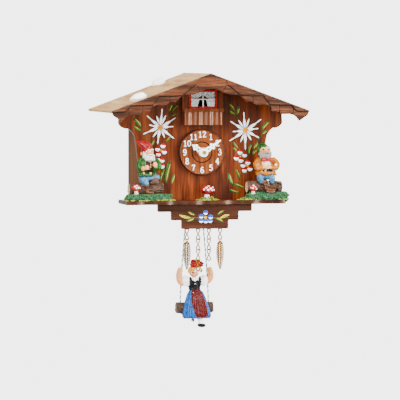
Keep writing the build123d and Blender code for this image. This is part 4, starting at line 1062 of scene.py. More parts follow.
BLOSSOMS = (
    (-43.2, -56.2), (-49.3, -59.7), (-41.7, -62.8), (-48.5, -65.4), (-49.3, -70.7),
    (-44.4, -72.4), (-44.1, -78.7), (44.7, -64.0), (49.9, -67.0), (40.3, -70.3),
    (45.6, -72.9), (53.6, -75.6), (48.2, -78.5), (56.1, -82.4), (49.7, -84.1),
)
BLOSSOM_HEARTS = ((-45.6, -61.6), (-46.4, -74.6), (45.2, -68.5), (53.0, -79.5))
FRONT = FACADE_Y - 0.02
BLOOM_LOOKS = [LOOKS[name] for name in ("petal", "petal_shade", "pollen", "berry")]
LEAF_LOOKS = [LOOKS[name] for name in ("leaf", "sprig", "butter")]

greens = bmesh.new()
for points in STEMS:
    stroke(greens, points, [0.7] * len(points), FRONT, 0.14, 0)
for number, (start, end, width) in enumerate(LEAVES):
    leaf(greens, start, end, width, FRONT - 0.06, bow=0.5 if number % 2 else -0.5)
piece(
    "painted_leaves", as_mesh("painted_leaves", greens), LEAF_LOOKS, "case", finish="facade_wood",
)

blooms = bmesh.new()
for heart, long_tips, short_tips in EDELWEISS:
    for tip in long_tips:
        petal(blooms, heart, tip, 3.0, 0, FRONT - 0.12)
    for tip in short_tips:
        drop(blooms, between(heart, tip, 0.25), tip, 1.9, FRONT - 0.1, 0)
    for tip in long_tips + short_tips:
        drop(
            blooms, between(heart, tip, 0.17), between(heart, tip, 0.42), 0.8, FRONT - 0.36, 1, height=0.12,
        )
    for k in range(7):
        a = math.radians(60 * k)
        out = 2.5 if k < 6 else 0.0
        x, z = heart[0] + out * math.cos(a), heart[1] + out * math.sin(a)
        disc_dot(blooms, x, z, 1.25, FRONT - 0.3, 0.4, 2)
for x, z in BLOSSOMS:
    drop(blooms, (x - 2.7, z + 0.5), (x + 2.5, z - 0.2), 4.0, FRONT - 0.1, 0, bow=0.9)
    drop(blooms, (x - 2.6, z + 1.4), (x + 2.4, z + 0.7), 2.6, FRONT - 0.3, 3, bow=-0.8)
    drop(blooms, (x - 1.6, z - 1.3), (x + 1.2, z - 1.5), 0.5, FRONT - 0.3, 1, height=0.1)
for x, z in BLOSSOM_HEARTS:
    disc_dot(blooms, x, z, 1.3, FRONT - 0.3, 0.4, 2)
piece(
    "painted_blooms", as_mesh("painted_blooms", blooms), BLOOM_LOOKS, "case", finish="facade_wood",
)

# The flower and leaves on the apron.
APRON_FRONT = low_high("stepped_apron")[0].y - 0.02
sprays = bmesh.new()
for start, end, index in (
    ((-29.2, -132.1), (-16.6, -135.5), 2), ((-19.7, -127.8), (-11.3, -132.3), 0),
    ((-21.7, -138.8), (-11.5, -134.9), 0),
    ((21.8, -128.0), (13.8, -132.6), 0), ((27.5, -132.5), (16.9, -136.4), 2),
    ((20.6, -140.6), (12.3, -136.4), 0),
):
    leaf(sprays, start, end, 3.2, APRON_FRONT, (index, 2, 1))
for start, end in (((-27.0, -134.6), (-7.0, -135.6)), ((26.0, -135.4), (8.0, -136.0))):
    stroke(sprays, [start, between(start, end, 0.5), end], [0.6, 0.8, 0.5], APRON_FRONT, 0.14, 1)
for x, z in ((0.5, -129.6), (-4.5, -133.6), (6.2, -134.4), (-4.5, -138.4), (0.8, -138.9), (5.6, -138.6)):
    disc_dot(sprays, x, z, 2.9, APRON_FRONT, 0.35, 3, 0.86)
    drop(sprays, (x - 2.2, z - 0.9), (x + 2.2, z - 0.9), 2.0, APRON_FRONT - 0.22, 4, bow=0.7)
disc_dot(sprays, 0.4, -135.2, 1.9, APRON_FRONT - 0.24, 0.5, 5)
piece(
    "painted_sprays", as_mesh("painted_sprays", sprays),
    LEAF_LOOKS + [LOOKS[name] for name in ("gentian", "petal", "pollen")], "case", finish="dark_wood",
)


# ------------------------------------------------------------------ cast figures
PAINT_REACH = 2.0             # how far from a shape its paint can still be the nearest
OVERPAINT = 50.0              # puts a painted spot before every solid shape
GNOME_VOXEL, DOLL_VOXEL, CAP_VOXEL = 0.33, 0.3, 0.25
SOFTEN_ROUNDS = 3
CORNERS = [(i, j, k) for i in (0, 1) for j in (0, 1) for k in (0, 1)]


def away_from(points, matrix, reach, kind):
    """How far points lie outside a shape, roughly, in millimetres."""
    inverse = np.array(matrix.inverted())
    local = points @ inverse[:3, :3].T + inverse[:3, 3]
    if kind == "block":
        return (np.abs(local).max(axis=1) - 1) * reach
    if kind == "rod":
        return (np.maximum(np.hypot(local[:, 0], local[:, 1]), np.abs(local[:, 2])) - 1) * reach
    return (np.linalg.norm(local, axis=1) - 1) * reach


def net(field, low, voxel):
    """Corner places and four-sided faces of the skin where a field turns negative."""
    inside = field < 0
    spans = [slice(None, -1), slice(1, None)]
    filled = sum(inside[spans[i], spans[j], spans[k]].astype(np.int8) for i, j, k in CORNERS)
    active = (filled > 0) & (filled < 8)
    cells = np.argwhere(active)
    number = np.full(active.shape, -1)
    number[active] = np.arange(len(cells))
    total = np.zeros((len(cells), 3))
    count = np.zeros((len(cells), 1))
    for axis in range(3):
        for corner in CORNERS:
            if corner[axis]:
                continue
            end = tuple(c + (1 if k == axis else 0) for k, c in enumerate(corner))
            near = field[tuple((cells + corner).T)]
            far = field[tuple((cells + end).T)]
            crossed = (near < 0) != (far < 0)
            t = np.where(crossed, near / np.where(crossed, near - far, 1.0), 0.0)
            place = np.array(corner) + t[:, None] * (np.array(end) - np.array(corner))
            total += np.where(crossed[:, None], place, 0.0)
            count += crossed[:, None]
    places = low + voxel * (cells + total / count)
    faces = []
    for axis in range(3):
        u, v = (axis + 1) % 3, (axis + 2) % 3
        first = [slice(None)] * 3
        second = [slice(None)] * 3
        first[axis], second[axis] = slice(None, -1), slice(1, None)
        for sign in (False, True):
            edges = np.argwhere((inside[tuple(first)] == sign) & (inside[tuple(second)] != sign))
            ring = []
            for du, dv in ((-1, -1), (0, -1), (0, 0), (-1, 0)):
                cell = edges.copy()
                cell[:, u] += du
                cell[:, v] += dv
                ring.append(number[tuple(cell.T)])
            quads = np.stack(ring if sign else ring[::-1], axis=1)
            faces.append(quads)
    return places, np.concatenate(faces)


class Clay:
    """One skin over overlapping shapes in millimetres, each painted its own colour."""

    def __init__(self):
        self.owners = []

    def own(self, paint, matrix, reach, solid=True, lift=0.0, kind="ball"):
        self.owners.append((paint, matrix, reach, solid, lift, kind))

    def blob(self, paint, centre, radii, turn=(0, 0, 0), solid=True, lift=0.0):
        radii = radii if isinstance(radii, tuple) else (radii,) * 3
        spin = Euler([math.radians(a) for a in turn]).to_matrix().to_4x4()
        matrix = Matrix.Translation(centre) @ spin @ Matrix.Diagonal((*radii, 1.0))
        self.own(paint, matrix, min(radii), solid, lift)

    def spot(self, paint, centre, radii, turn=(0, 0, 0)):
        """Paint with no shape of its own."""
        self.blob(paint, centre, radii, turn, solid=False)

    def limb(self, paint, *stations, steps=6, lift=0.0):
        """A rounded branch through stations (x, y, z, radius)."""
        for x, y, z, radius in smooth_line(stations, steps):
            self.blob(paint, (x, y, z), radius, lift=lift)

    def ring(self, paint, centre, radii, thick, tilt=0.0, lift=0.0, count=40):
        """A belt or brim round an upright body."""
        spin = Euler((0, math.radians(tilt), 0)).to_matrix()
        for step in range(count):
            a = 2 * math.pi * step / count
            place = Vector(centre) + spin @ Vector((radii[0] * math.cos(a), radii[1] * math.sin(a), 0))
            self.blob(paint, place, thick, lift=lift)

    def block(self, paint, low, high, lift=0.0):
        low, high = Vector(low), Vector(high)
        matrix = Matrix.Translation((low + high) / 2) @ Matrix.Diagonal((*((high - low) / 2), 1.0))
        self.own(paint, matrix, min((high - low) / 2), True, lift, "block")

    def log(self, ends, y, z, radius, cut, cut_radius):
        """A log that lies along x; its sawn ends are painted."""
        centre = ((ends[0] + ends[1]) / 2, y, z)
        half = (ends[1] - ends[0]) / 2
        spin = Euler((0, math.pi / 2, 0)).to_matrix().to_4x4()
        matrix = Matrix.Translation(centre) @ spin @ Matrix.Diagonal((radius, radius, half, 1.0))
        self.own("bark", matrix, radius, True, 0.0, "rod")
        for end in ends:
            self.spot(cut, (end, y, z), (0.8, cut_radius, cut_radius))

    def skin(self, name, voxel, reliefs):
        """Fuses the shapes, works the reliefs in and paints each face; returns mesh and paints."""
        solids = [owner for owner in self.owners if owner[3]]
        reach = [[sum(abs(m[row][axis]) for axis in range(3)) for row in range(3)] for _, m, *_ in solids]
        centre = np.array([tuple(m.translation) for _, m, *_ in solids])
        reach = np.array(reach)
        low = (centre - reach).min(axis=0) - 3 * voxel
        size = np.ceil(((centre + reach).max(axis=0) + 3 * voxel - low) / voxel).astype(int) + 1
        field = np.full(tuple(size), 4.0 * voxel)
        for (_, matrix, least, _, _, kind), mid, wide in zip(solids, centre, reach):
            start = np.maximum(((mid - wide - low) / voxel).astype(int) - 3, 0)
            stop = np.minimum(((mid + wide - low) / voxel).astype(int) + 4, size)
            window = tuple(slice(a, b) for a, b in zip(start, stop))
            grid = np.stack(
                np.meshgrid(*[np.arange(a, b) for a, b in zip(start, stop)], indexing="ij"), axis=-1,
            )
            away = away_from(low + voxel * grid.reshape(-1, 3), matrix, least, kind).reshape(grid.shape[:3])
            field[window] = np.minimum(field[window], away)
        places, faces = net(field, low, voxel)
        mesh = bpy.data.meshes.new(name)
        mesh.from_pydata(places.tolist(), [], faces.tolist())
        build = bmesh.new()
        build.from_mesh(mesh)
        every_way = {"use_axis_x": True, "use_axis_y": True, "use_axis_z": True}
        for _ in range(SOFTEN_ROUNDS):
            bmesh.ops.smooth_vert(build, verts=build.verts, factor=0.5, **every_way)
        build.to_mesh(mesh)
        build.free()
        paints = sorted({owner[0] for owner in self.owners})
        centres = np.empty(len(mesh.polygons) * 3)
        mesh.polygons.foreach_get("center", centres)
        colours = self.painted(centres.reshape(-1, 3), paints)
        if reliefs:
            places = np.empty(len(mesh.vertices) * 3)
            mesh.vertices.foreach_get("co", places)
            places = places.reshape(-1, 3)
            normals = np.empty(len(mesh.vertices) * 3)
            mesh.vertices.foreach_get("normal", normals)
            normals = normals.reshape(-1, 3)
            owners = self.painted(places, paints)
            # Each painted part has its own relief: a depth and the noise's cycles per millimetre.
            grain = np.zeros(len(places))
            for index, paint in enumerate(paints):
                if paint in reliefs:
                    depth, stretch = reliefs[paint]
                    for k in np.flatnonzero(owners == index):
                        grain[k] = depth * noise.noise(Vector(places[k] * stretch))
            mesh.vertices.foreach_set("co", (places + normals * grain[:, None]).ravel())
        mesh.polygons.foreach_set("material_index", colours.astype(np.int32))
        mesh.polygons.foreach_set("use_smooth", [True] * len(mesh.polygons))
        mesh.transform(Matrix.Scale(MM, 4))
        mesh.update()
        return mesh, paints

    def painted(self, points, paints):
        """The index of the paint nearest each point."""
        order = np.argsort(points[:, 2])
        points = points[order]
        heights = points[:, 2]
        best = np.full(len(points), 1e9)
        result = np.zeros(len(points), dtype=int)
        for paint, matrix, reach, solid, lift, kind in self.owners:
            tall = sum(abs(matrix[2][axis]) for axis in range(3)) + PAINT_REACH
            first, last = np.searchsorted(heights, (matrix[2][3] - tall, matrix[2][3] + tall))
            if first == last:
                continue
            away = away_from(points[first:last], matrix, reach, kind)
            if not solid:
                away = np.where(away < 0, away - OVERPAINT, 1e9)
            away = away - lift
            nearer = away < best[first:last]
            best[first:last] = np.where(nearer, away, best[first:last])
            result[first:last] = np.where(nearer, paints.index(paint), result[first:last])
        unsorted = np.empty_like(result)
        unsorted[order] = result
        return unsorted


def figure(clay, name, body, replaced, voxel, reliefs=None, finish="painted_resin"):
    """Casts a figure from its clay and sets it in the place of its node."""
    mesh, paints = clay.skin(name, voxel, reliefs)
    return piece(name, mesh, [PAINTS[p] for p in paints], body, replaced, finish=finish)


PAINTS = {
    "skin": paint("paint_skin", (0.60, 0.25, 0.085), 0.75, 0.45, 0.15),
    "blush": paint("paint_blush", (0.60, 0.14, 0.09), 0.85, 0.45, 0.15),
    "lips": paint("paint_lips", (0.2720, 0.0144, 0.0112), 0.85, 0.4, 0.3),
    "eye": paint("paint_eye", (0.008, 0.005, 0.004), 0.8, 0.25, 0.8),
    "beard": paint("paint_beard", (0.62, 0.60, 0.54), 0.45, 0.5, 0.1, 0.10, 1.6, 0.9),
    "grey": paint("paint_grey_hair", (0.20, 0.18, 0.15), 0.25, 0.5, 0.1, 0.10, 1.6, 1.0),
    "red": paint("paint_red", (0.1800, 0.0025, 0.0020), 0.5, 0.32, 0.5),
    "pinkred": paint("paint_pink_red", (0.2760, 0.0132, 0.0132), 0.7, 0.35, 0.4),
    "green": paint("paint_green", (0.0072, 0.0450, 0.0036), 0.35, 0.36, 0.4),
    "vest": paint("paint_vest", (0.0196, 0.0060, 0.0042), 0.5, 0.4, 0.3),
    "black": paint("paint_black", (0.0040, 0.0040, 0.0045), 0.7, 0.45, 0.4),
    "gold": paint("paint_buckle", (0.42, 0.28, 0.075), 0.7, 0.3, 0.6),
    "blue": paint("paint_light_blue", (0.0325, 0.1075, 0.1800), 0.45, 0.35, 0.4),
    "deepblue": paint("paint_blue", (0.0044, 0.0633, 0.2420), 0.5, 0.45, 0.4, mottle=0.7),
    "boot": paint("paint_boot", (0.0525, 0.0147, 0.0038), 0.4, 0.3, 0.6),
    "sole": paint("paint_sole", (0.055, 0.034, 0.025), 0.5, 0.5, 0.2),
    "orange": paint("paint_orange", (0.28, 0.085, 0.0010), 0.5, 0.34, 0.4),
    "cream": paint("paint_cream", (0.58, 0.48, 0.33), 0.6, 0.42, 0.2),
    "white": paint("paint_white", (0.86, 0.86, 0.86), 0.9, 0.3, 0.5, mottle=0.2),
    "hair": paint("paint_blond", (0.52, 0.22, 0.0050), 0.4, 0.35, 0.4, 0.08, 1.6, 0.9),
    "darkred": paint("paint_apron", (0.055, 0.0008, 0.0007), 0.4, 0.5, 0.5),
    "streak": paint("painted_apron_highlight", (0.80, 0.74, 0.80), 0.85, 0.3, 0.5),
    "silver": metal("paint_silver", (0.72, 0.72, 0.72), (0.3, 0.3, 0.3), 0.3),
    "bark": paint("paint_bark", (0.040, 0.021, 0.012), 0.25, 0.62, 0.1, 0.22, 1.5, 1.0),
    "seat_end": paint("paint_seat_end", (0.10, 0.075, 0.060), 0.5, 0.5, 0.2, 0.06, 1.5, 0.6),
    "sawn": paint("paint_sawn", (0.42, 0.30, 0.17), 0.7, 0.55, 0.1, 0.06, 1.5, 0.6),
    "turf": paint("paint_turf", (0.0140, 0.0595, 0.0252), 0.22, 0.55, 0.1, 0.22, 2.0, 1.0),
    "yellow": paint("paint_yellow", (0.50, 0.36, 0.020), 0.6, 0.5, 0.1, 0.1, 1.6),
}


def cap_dots(clay, centre, radii, dots, flatness, lift):
    """White spots (across, up, size) on the front of a mushroom's cap."""
    deep, tall = flatness
    for across, up, size in dots:
        reach = math.sqrt(1 - across * across - up * up)
        place = [c + r * step for c, r, step in zip(centre, radii, (across, -reach, up))]
        clay.blob("white", place, (size, size * deep, size * tall), lift=lift)


def toadstool(clay, foot, high, width, dots):
    """A red cap with pale spots on a pale stem."""
    x, y, z = foot
    stem = width * 0.2
    clay.limb("cream", (x, y, z, width * 0.27), (x, y, z + high * 0.5, stem), (x, y, z + high, stem))
    cap = (width / 2, width / 2, width * 0.36)
    clay.blob("pinkred", (x, y, z + high + 0.2), cap, lift=0.15)
    gills = (width * 0.34, width * 0.34, width * 0.10)
    clay.blob("cream", (x, y, z + high - width * 0.12), gills, lift=0.3)
    cap_dots(clay, (x, y, z + high + 0.2), cap, dots, (0.7, 1.0), 0.22)


def locks(clay, paint, roots, drop, sway, radius):
    """Wavy strands of hair or beard that hang from roots (x, y, z)."""
    for number, (x, y, z) in enumerate(roots):
        lean = sway * math.sin(2.4 * number)
        clay.limb(
            paint, (x, y, z, radius), (x + lean, y - 0.5, z - drop * 0.4, radius * 0.95),
            (x - lean * 0.4, y - 0.3, z - drop * 0.75, radius * 0.75),
            (x + lean * 0.5, y + 0.4, z - drop, radius * 0.35), steps=4,
        )


SLAB_FOOT = -116.2


def turf_slab(clay, front, rear, ends, rim, crest):
    """A slab of turf: a low front, a higher rear, rounded ends, a knobbly rim and crest."""
    for (x0, x1, top), y0, y1 in ((front, -110.0, -91.2), (rear, -106.4, -91.6)):
        clay.block("turf", (x0, y0, SLAB_FOOT), (x1, y1, top))
    left, right, z, high = ends
    for side in (left, right):
        clay.blob("turf", (side, -101.0, z), (6.8, 10.0, high))
    count, x, z, sway, high = rim
    for k in range(count):
        place = (x + 2.4 * k, -110.0 + 0.8 * math.sin(5.3 * k), z + sway * math.sin(2.2 * k))
        clay.blob("turf", place, (2.2, 1.3, high))
    count, x, z, wave, wide = crest
    for k in range(count):
        place = (x + 3.1 * k, -107.6 + 1.2 * math.sin(wave * k), z + 0.5 * math.sin(4.7 * k))
        clay.blob("turf", place, (wide, 2.6, 1.7))


BLADE_HIGH = (0.9, 2.2)


def blades(name, box, count, seed, looks):
    """Short bent blades of grass over a slab's top and front edge."""
    random.seed(seed)
    build = bmesh.new()
    (x0, x1), (y0, y1), z = box
    for number in range(count):
        x = random.uniform(x0, x1)
        y = y0 + (y1 - y0) * random.random() ** 2.2
        lean = Vector((random.uniform(-0.9, 0.9), random.uniform(-0.9, 0.4), 0))
        tall = random.uniform(*BLADE_HIGH)
        foot = Vector((x, y, z - 0.4))
        if number % 3 == 0:
            foot = Vector((x, y0 + 0.35, random.uniform(z - 5.5, z)))
            lean = Vector((random.uniform(-0.8, 0.8), -0.35, 0))
            tall *= 0.6
        points = [foot, foot + lean * 0.35 + Vector((0, 0, tall * 0.6)), foot + lean + Vector((0, 0, tall))]
        wire(build, points, [0.34, 0.26, 0.05], 5, index=number % len(looks))
    return as_mesh(name, build)


# --- the gnome on the left, who looks to the right with one leg over the other
clay = Clay()
clay.limb(
    "red", (-64.6, -99.6, -57.6, 6.1), (-67.6, -99.6, -55.0, 4.7), (-71.4, -99.6, -52.6, 2.9),
    (-75.0, -99.6, -50.6, 1.5), (-77.2, -99.6, -49.4, 0.7), lift=0.2,
)
clay.ring("red", (-65.0, -99.8, -59.4), (5.7, 5.5), 1.1, tilt=-12, lift=0.22)
clay.blob("skin", (-62.7, -100.4, -63.0), (5.4, 5.5, 5.4))
clay.blob("skin", (-60.6, -106.2, -63.9), (1.45, 1.5, 1.25), lift=0.2)
clay.blob("skin", (-70.6, -99.4, -64.2), (1.1, 2.0, 2.3), lift=0.3)
clay.limb(
    "beard", (-67.2, -104.2, -59.9, 0.7), (-64.8, -105.5, -59.4, 0.8), (-63.2, -105.9, -60.1, 0.5),
    lift=0.3,
)
clay.limb(
    "beard", (-61.6, -105.9, -60.0, 0.5), (-59.8, -105.4, -59.5, 0.8), (-58.0, -103.9, -60.3, 0.5),
    lift=0.3,
)
clay.spot("blush", (-64.8, -105.2, -63.8), (1.5, 1.6, 1.0))
clay.spot("blush", (-58.3, -104.8, -63.8), (1.2, 1.6, 1.0))
clay.spot("white", (-65.4, -105.0, -61.5), (1.15, 1.6, 0.75))
clay.spot("white", (-61.0, -105.7, -61.5), (1.05, 1.6, 0.75))
clay.spot("eye", (-65.1, -105.2, -61.6), (0.85, 2.2, 0.8))
clay.spot("eye", (-60.7, -105.7, -61.6), (0.8, 2.2, 0.8))
clay.blob("beard", (-62.4, -101.6, -68.6), (5.9, 4.3, 3.6))
locks(
    clay, "beard", [(-68.2, -101.2, -62.0), (-68.6, -100.0, -64.5), (-67.2, -103.4, -64.6)], 5.6, 0.5, 1.1,
)
locks(
    clay, "beard", [(-66.6 + 1.35 * k, -104.9 - 0.4 * math.sin(0.5 * k), -66.6) for k in range(8)], 6.0,
    0.7, 0.85,
)
clay.limb(
    "beard", (-61.4, -106.5, -65.3, 0.9), (-64.2, -106.2, -65.7, 0.95), (-66.8, -104.6, -66.9, 0.4),
    lift=0.2,
)
clay.limb(
    "beard", (-60.6, -106.5, -65.3, 0.9), (-58.4, -105.6, -65.8, 0.9), (-56.9, -103.8, -67.0, 0.4),
    lift=0.2,
)
clay.spot("lips", (-61.1, -106.7, -66.6), (1.3, 1.2, 0.5))
clay.blob("vest", (-62.4, -99.6, -77.5), (6.8, 6.5, 7.6))
for k in range(4):
    clay.blob("gold", (-61.6, -106.0, -74.0 - 2.4 * k), 0.45, lift=0.2)
clay.blob("green", (-68.4, -98.9, -78.0), (4.9, 6.1, 8.8))
clay.blob("green", (-56.6, -98.9, -79.0), (4.2, 5.8, 8.0))
clay.limb(
    "green", (-70.6, -99.2, -71.6, 3.5), (-72.8, -99.8, -76.5, 3.7), (-72.4, -101.2, -80.6, 3.4),
    (-70.6, -103.9, -82.2, 2.9), lift=0.1,
)
clay.limb(
    "green", (-71.0, -103.0, -75.0, 0.8), (-73.2, -103.0, -77.5, 0.7), (-72.4, -104.0, -80.0, 0.7),
    lift=0.1,
)
clay.limb(
    "green", (-53.9, -99.0, -72.4, 3.3), (-51.5, -100.0, -76.5, 3.4), (-51.8, -101.6, -79.6, 3.1),
    (-54.4, -103.6, -80.0, 2.7), lift=0.1,
)
clay.blob("skin", (-69.9, -106.2, -80.2), (2.3, 1.7, 2.5), lift=0.3)
clay.blob("skin", (-66.2, -106.8, -79.4), (2.6, 1.7, 2.9), lift=0.3)
for k in range(4):
    clay.limb(
        "skin", (-67.4 + k * 0.3, -108.1, -77.8 - 1.1 * k, 0.62),
        (-65.2 + k * 0.2, -108.0, -77.9 - 1.1 * k, 0.62), (-63.8, -107.2, -78.3 - 1.0 * k, 0.5), steps=3,
        lift=0.2,
    )
clay.blob("skin", (-56.4, -105.8, -76.4), (2.5, 1.6, 3.3), lift=0.3)
for k in range(4):
    clay.limb(
        "skin", (-58.0 + k * 0.95, -106.9, -74.4, 0.6), (-58.0 + k * 0.95, -107.2, -76.4, 0.6),
        (-57.6 + k * 0.8, -106.9, -78.4, 0.5), steps=3, lift=0.2,
    )
clay.ring("black", (-64.6, -99.5, -85.6), (8.8, 6.9), 1.0, lift=0.25)
clay.blob("gold", (-69.3, -106.0, -85.6), (0.9, 0.8, 1.3), lift=0.3)
clay.blob("gold", (-61.8, -106.6, -85.6), (1.3, 0.8, 1.2), lift=0.3)
clay.blob("green", (-65.2, -99.5, -86.8), (10.0, 7.6, 3.2))
for k in range(9):
    clay.limb(
        "green", (-74.0 + 2.2 * k, -104.6 - 1.7 * math.sin(0.37 * k + 0.2), -85.6, 0.9),
        (-74.4 + 2.35 * k, -105.0 - 1.9 * math.sin(0.37 * k + 0.2), -88.6, 1.0), steps=4,
    )
clay.blob("blue", (-64.4, -99.5, -91.0), (9.0, 7.0, 4.4))
clay.limb("blue", (-69.2, -101.2, -91.3, 4.7), (-68.0, -103.6, -94.6, 4.4), (-66.2, -105.0, -97.4, 3.2))
clay.limb("blue", (-61.2, -101.0, -91.0, 4.2), (-57.0, -102.8, -90.4, 3.7), (-53.6, -103.6, -90.6, 3.1))
clay.limb(
    "blue", (-73.0, -104.6, -91.0, 0.7), (-70.2, -107.3, -94.5, 0.7), (-68.0, -107.8, -98.0, 0.6), lift=0.1,
)
clay.limb(
    "boot", (-54.4, -104.2, -92.4, 2.7), (-57.2, -105.6, -94.6, 2.8), (-60.0, -106.0, -96.2, 2.3), lift=0.1,
)
clay.blob("sole", (-55.2, -107.7, -95.0), (2.6, 0.9, 2.2), turn=(0, 35, 0), lift=0.22)
clay.limb("boot", (-65.9, -106.0, -99.3, 2.6), (-65.8, -106.2, -103.0, 2.2), (-65.6, -106.2, -106.6, 2.4))
clay.ring("boot", (-65.9, -106.0, -99.8), (2.1, 2.1), 0.7, count=16)
clay.limb("boot", (-65.6, -107.0, -107.2, 2.1), (-62.6, -107.8, -107.4, 2.1), (-60.0, -108.0, -107.6, 1.8))
clay.log((-85.0, -46.6), -99.4, -103.4, 6.6, "sawn", 6.2)
turf_slab(
    clay, (-84.0, -43.0, -110.2), (-84.4, -46.0, -109.2), (-83.6, -44.4, -115.2, 5.4),
    (20, -86.8, -112.6, 1.5, 2.6), (14, -85.0, -110.4, 3.1, 2.6),
)
clay.spot("yellow", (-63.6, -111.4, -115.4), (27.0, 0.9, 0.7))
toadstool(
    clay, (-77.8, -106.4, -110.0), 8.2, 9.8,
    ((0.35, 0.1, 1.0), (-0.5, 0.45, 0.8), (0.0, 0.75, 0.8), (0.8, -0.1, 0.6), (-0.15, -0.05, 0.7)),
)
RELIEFS = {
    "bark": (0.9, (0.16, 0.9, 0.9)), "beard": (0.35, (1.6, 0.6, 0.35)), "grey": (0.4, (1.5, 0.6, 0.35)),
    "turf": (0.9, (0.8, 0.8, 0.8)), "green": (0.3, (0.45, 0.45, 0.3)), "orange": (0.3, (0.45, 0.45, 0.3)),
    "blue": (0.3, (0.4, 0.4, 0.3)), "hair": (0.35, (1.5, 1.0, 0.5)),
}
figure(clay, "seated_gnome_left", "case", "gnome_left", GNOME_VOXEL, RELIEFS)

# --- the gnome on the right, facing forward with a pointed cap
clay = Clay()
clay.blob("green", (67.6, -99.0, -57.8), (6.0, 5.8, 4.2), turn=(0, 18, 0))
clay.limb("green", (67.4, -99.4, -56.6, 3.6), (67.8, -99.6, -54.4, 2.0), (67.8, -99.8, -52.6, 0.8))
clay.limb(
    "green", (62.9, -99.4, -58.4, 2.2), (62.2, -99.8, -61.0, 1.8), (62.8, -100.2, -63.4, 1.0), lift=0.2,
)
clay.blob("skin", (69.4, -100.4, -61.2), (6.3, 5.6, 5.2))
clay.blob("skin", (69.4, -106.3, -62.2), (1.4, 1.4, 1.2), lift=0.2)
clay.spot("blush", (66.4, -105.4, -62.9), (1.5, 1.6, 1.0))
clay.spot("blush", (72.6, -105.2, -62.9), (1.5, 1.6, 1.0))
clay.spot("eye", (66.5, -105.2, -60.4), (1.15, 2.0, 0.95))
clay.spot("eye", (72.1, -105.2, -60.5), (1.15, 2.0, 0.95))
clay.limb(
    "cream", (64.8, -104.6, -58.8, 0.5), (66.3, -105.4, -58.5, 0.6), (67.8, -105.6, -59.0, 0.4), lift=0.2,
)
clay.limb(
    "cream", (70.6, -105.6, -59.0, 0.4), (72.1, -105.3, -58.6, 0.6), (73.6, -104.4, -59.0, 0.5), lift=0.2,
)
clay.blob("grey", (64.4, -101.0, -65.8), (2.4, 3.6, 2.9))
clay.blob("grey", (74.4, -101.0, -65.8), (2.4, 3.6, 3.2))
clay.blob("grey", (69.3, -102.8, -67.0), (5.8, 3.6, 3.0))
locks(
    clay, "grey",
    [(63.6 + 1.28 * k, -103.6 - 1.6 * math.sin(math.pi * (k + 0.5) / 10), -64.6) for k in range(10)], 6.6,
    0.6, 0.85,
)
clay.limb(
    "grey", (69.6, -106.3, -63.8, 0.8), (67.0, -106.0, -64.6, 0.9), (64.6, -104.6, -65.8, 0.4), lift=0.2,
)
clay.limb(
    "grey", (70.6, -106.3, -63.8, 0.8), (73.0, -105.8, -64.6, 0.9), (75.2, -104.4, -65.8, 0.4), lift=0.2,
)
clay.spot("lips", (70.9, -106.6, -64.4), (1.4, 1.5, 0.75))
clay.blob("orange", (70.0, -98.6, -79.0), (9.8, 6.2, 9.2))
clay.limb(
    "orange", (63.2, -99.2, -73.0, 4.0), (60.4, -100.0, -77.0, 4.2), (61.0, -102.4, -81.0, 3.6),
    (64.6, -104.8, -81.2, 2.9), lift=0.1,
)
clay.limb(
    "orange", (79.2, -99.2, -73.2, 4.0), (82.4, -100.0, -77.0, 4.2), (80.6, -102.4, -80.6, 3.7),
    (76.8, -104.8, -80.8, 3.0), lift=0.1,
)
clay.limb(
    "orange", (61.0, -103.8, -74.0, 0.7), (59.2, -103.8, -77.6, 0.7), (60.6, -105.6, -80.4, 0.6), lift=0.1,
)
clay.limb(
    "orange", (80.6, -103.8, -74.0, 0.7), (83.0, -103.6, -77.2, 0.7), (81.2, -105.4, -80.2, 0.6), lift=0.1,
)
clay.blob("cream", (70.2, -102.4, -77.0), (5.2, 4.4, 5.4), lift=0.1)
for k in range(5):
    clay.limb(
        "cream", (67.0 + 1.5 * k, -106.1, -74.0, 0.55), (66.8 + 1.6 * k, -106.9, -77.5, 0.6),
        (66.6 + 1.7 * k, -106.4, -80.5, 0.5), steps=4,
    )
clay.blob("skin", (67.2, -106.6, -80.2), (2.2, 1.6, 1.7), lift=0.2)
clay.blob("skin", (73.4, -106.6, -80.4), (2.6, 1.6, 1.6), lift=0.2)
for k in range(4):
    clay.limb(
        "skin", (68.4, -107.8, -79.2 - 0.8 * k, 0.5), (70.0, -108.1, -79.2 - 0.8 * k, 0.5),
        (71.6, -107.8, -79.4 - 0.8 * k, 0.45), steps=3, lift=0.2,
    )
clay.blob("white", (80.8, -105.0, -77.3), (1.0, 0.8, 0.9), lift=0.3)
clay.spot("blush", (61.0, -105.2, -81.4), (2.0, 1.4, 0.9))
clay.blob("pinkred", (67.0, -106.0, -72.0), (2.5, 1.5, 2.3), turn=(0, -15, 0), lift=0.22)
clay.blob("pinkred", (73.6, -105.8, -72.0), (3.2, 1.5, 2.1), turn=(0, 12, 0), lift=0.22)
clay.blob("red", (70.0, -106.8, -71.9), (1.1, 1.2, 1.2), lift=0.28)
clay.limb(
    "pinkred", (75.6, -105.4, -73.0, 1.1), (77.6, -104.6, -74.4, 0.8), (78.6, -104.0, -75.6, 0.5), lift=0.2,
)
clay.ring("black", (71.4, -99.2, -83.7), (9.0, 6.6), 1.15, lift=0.25)
clay.blob("silver", (64.8, -104.6, -83.9), (1.3, 0.7, 0.8), lift=0.35)
clay.blob("gold", (69.0, -106.0, -83.6), (1.4, 0.8, 1.1), lift=0.35)
clay.blob("silver", (77.4, -104.8, -83.6), (1.6, 0.7, 0.9), lift=0.35)
clay.blob("orange", (70.6, -99.2, -86.2), (11.8, 7.6, 3.0))
clay.limb(
    "orange", (59.8, -102.6, -88.0, 1.4), (64.0, -106.0, -86.4, 1.5), (70.0, -107.0, -87.6, 1.7),
    (76.0, -106.0, -86.6, 1.5), (81.4, -102.6, -88.4, 1.3), steps=10, lift=0.2,
)
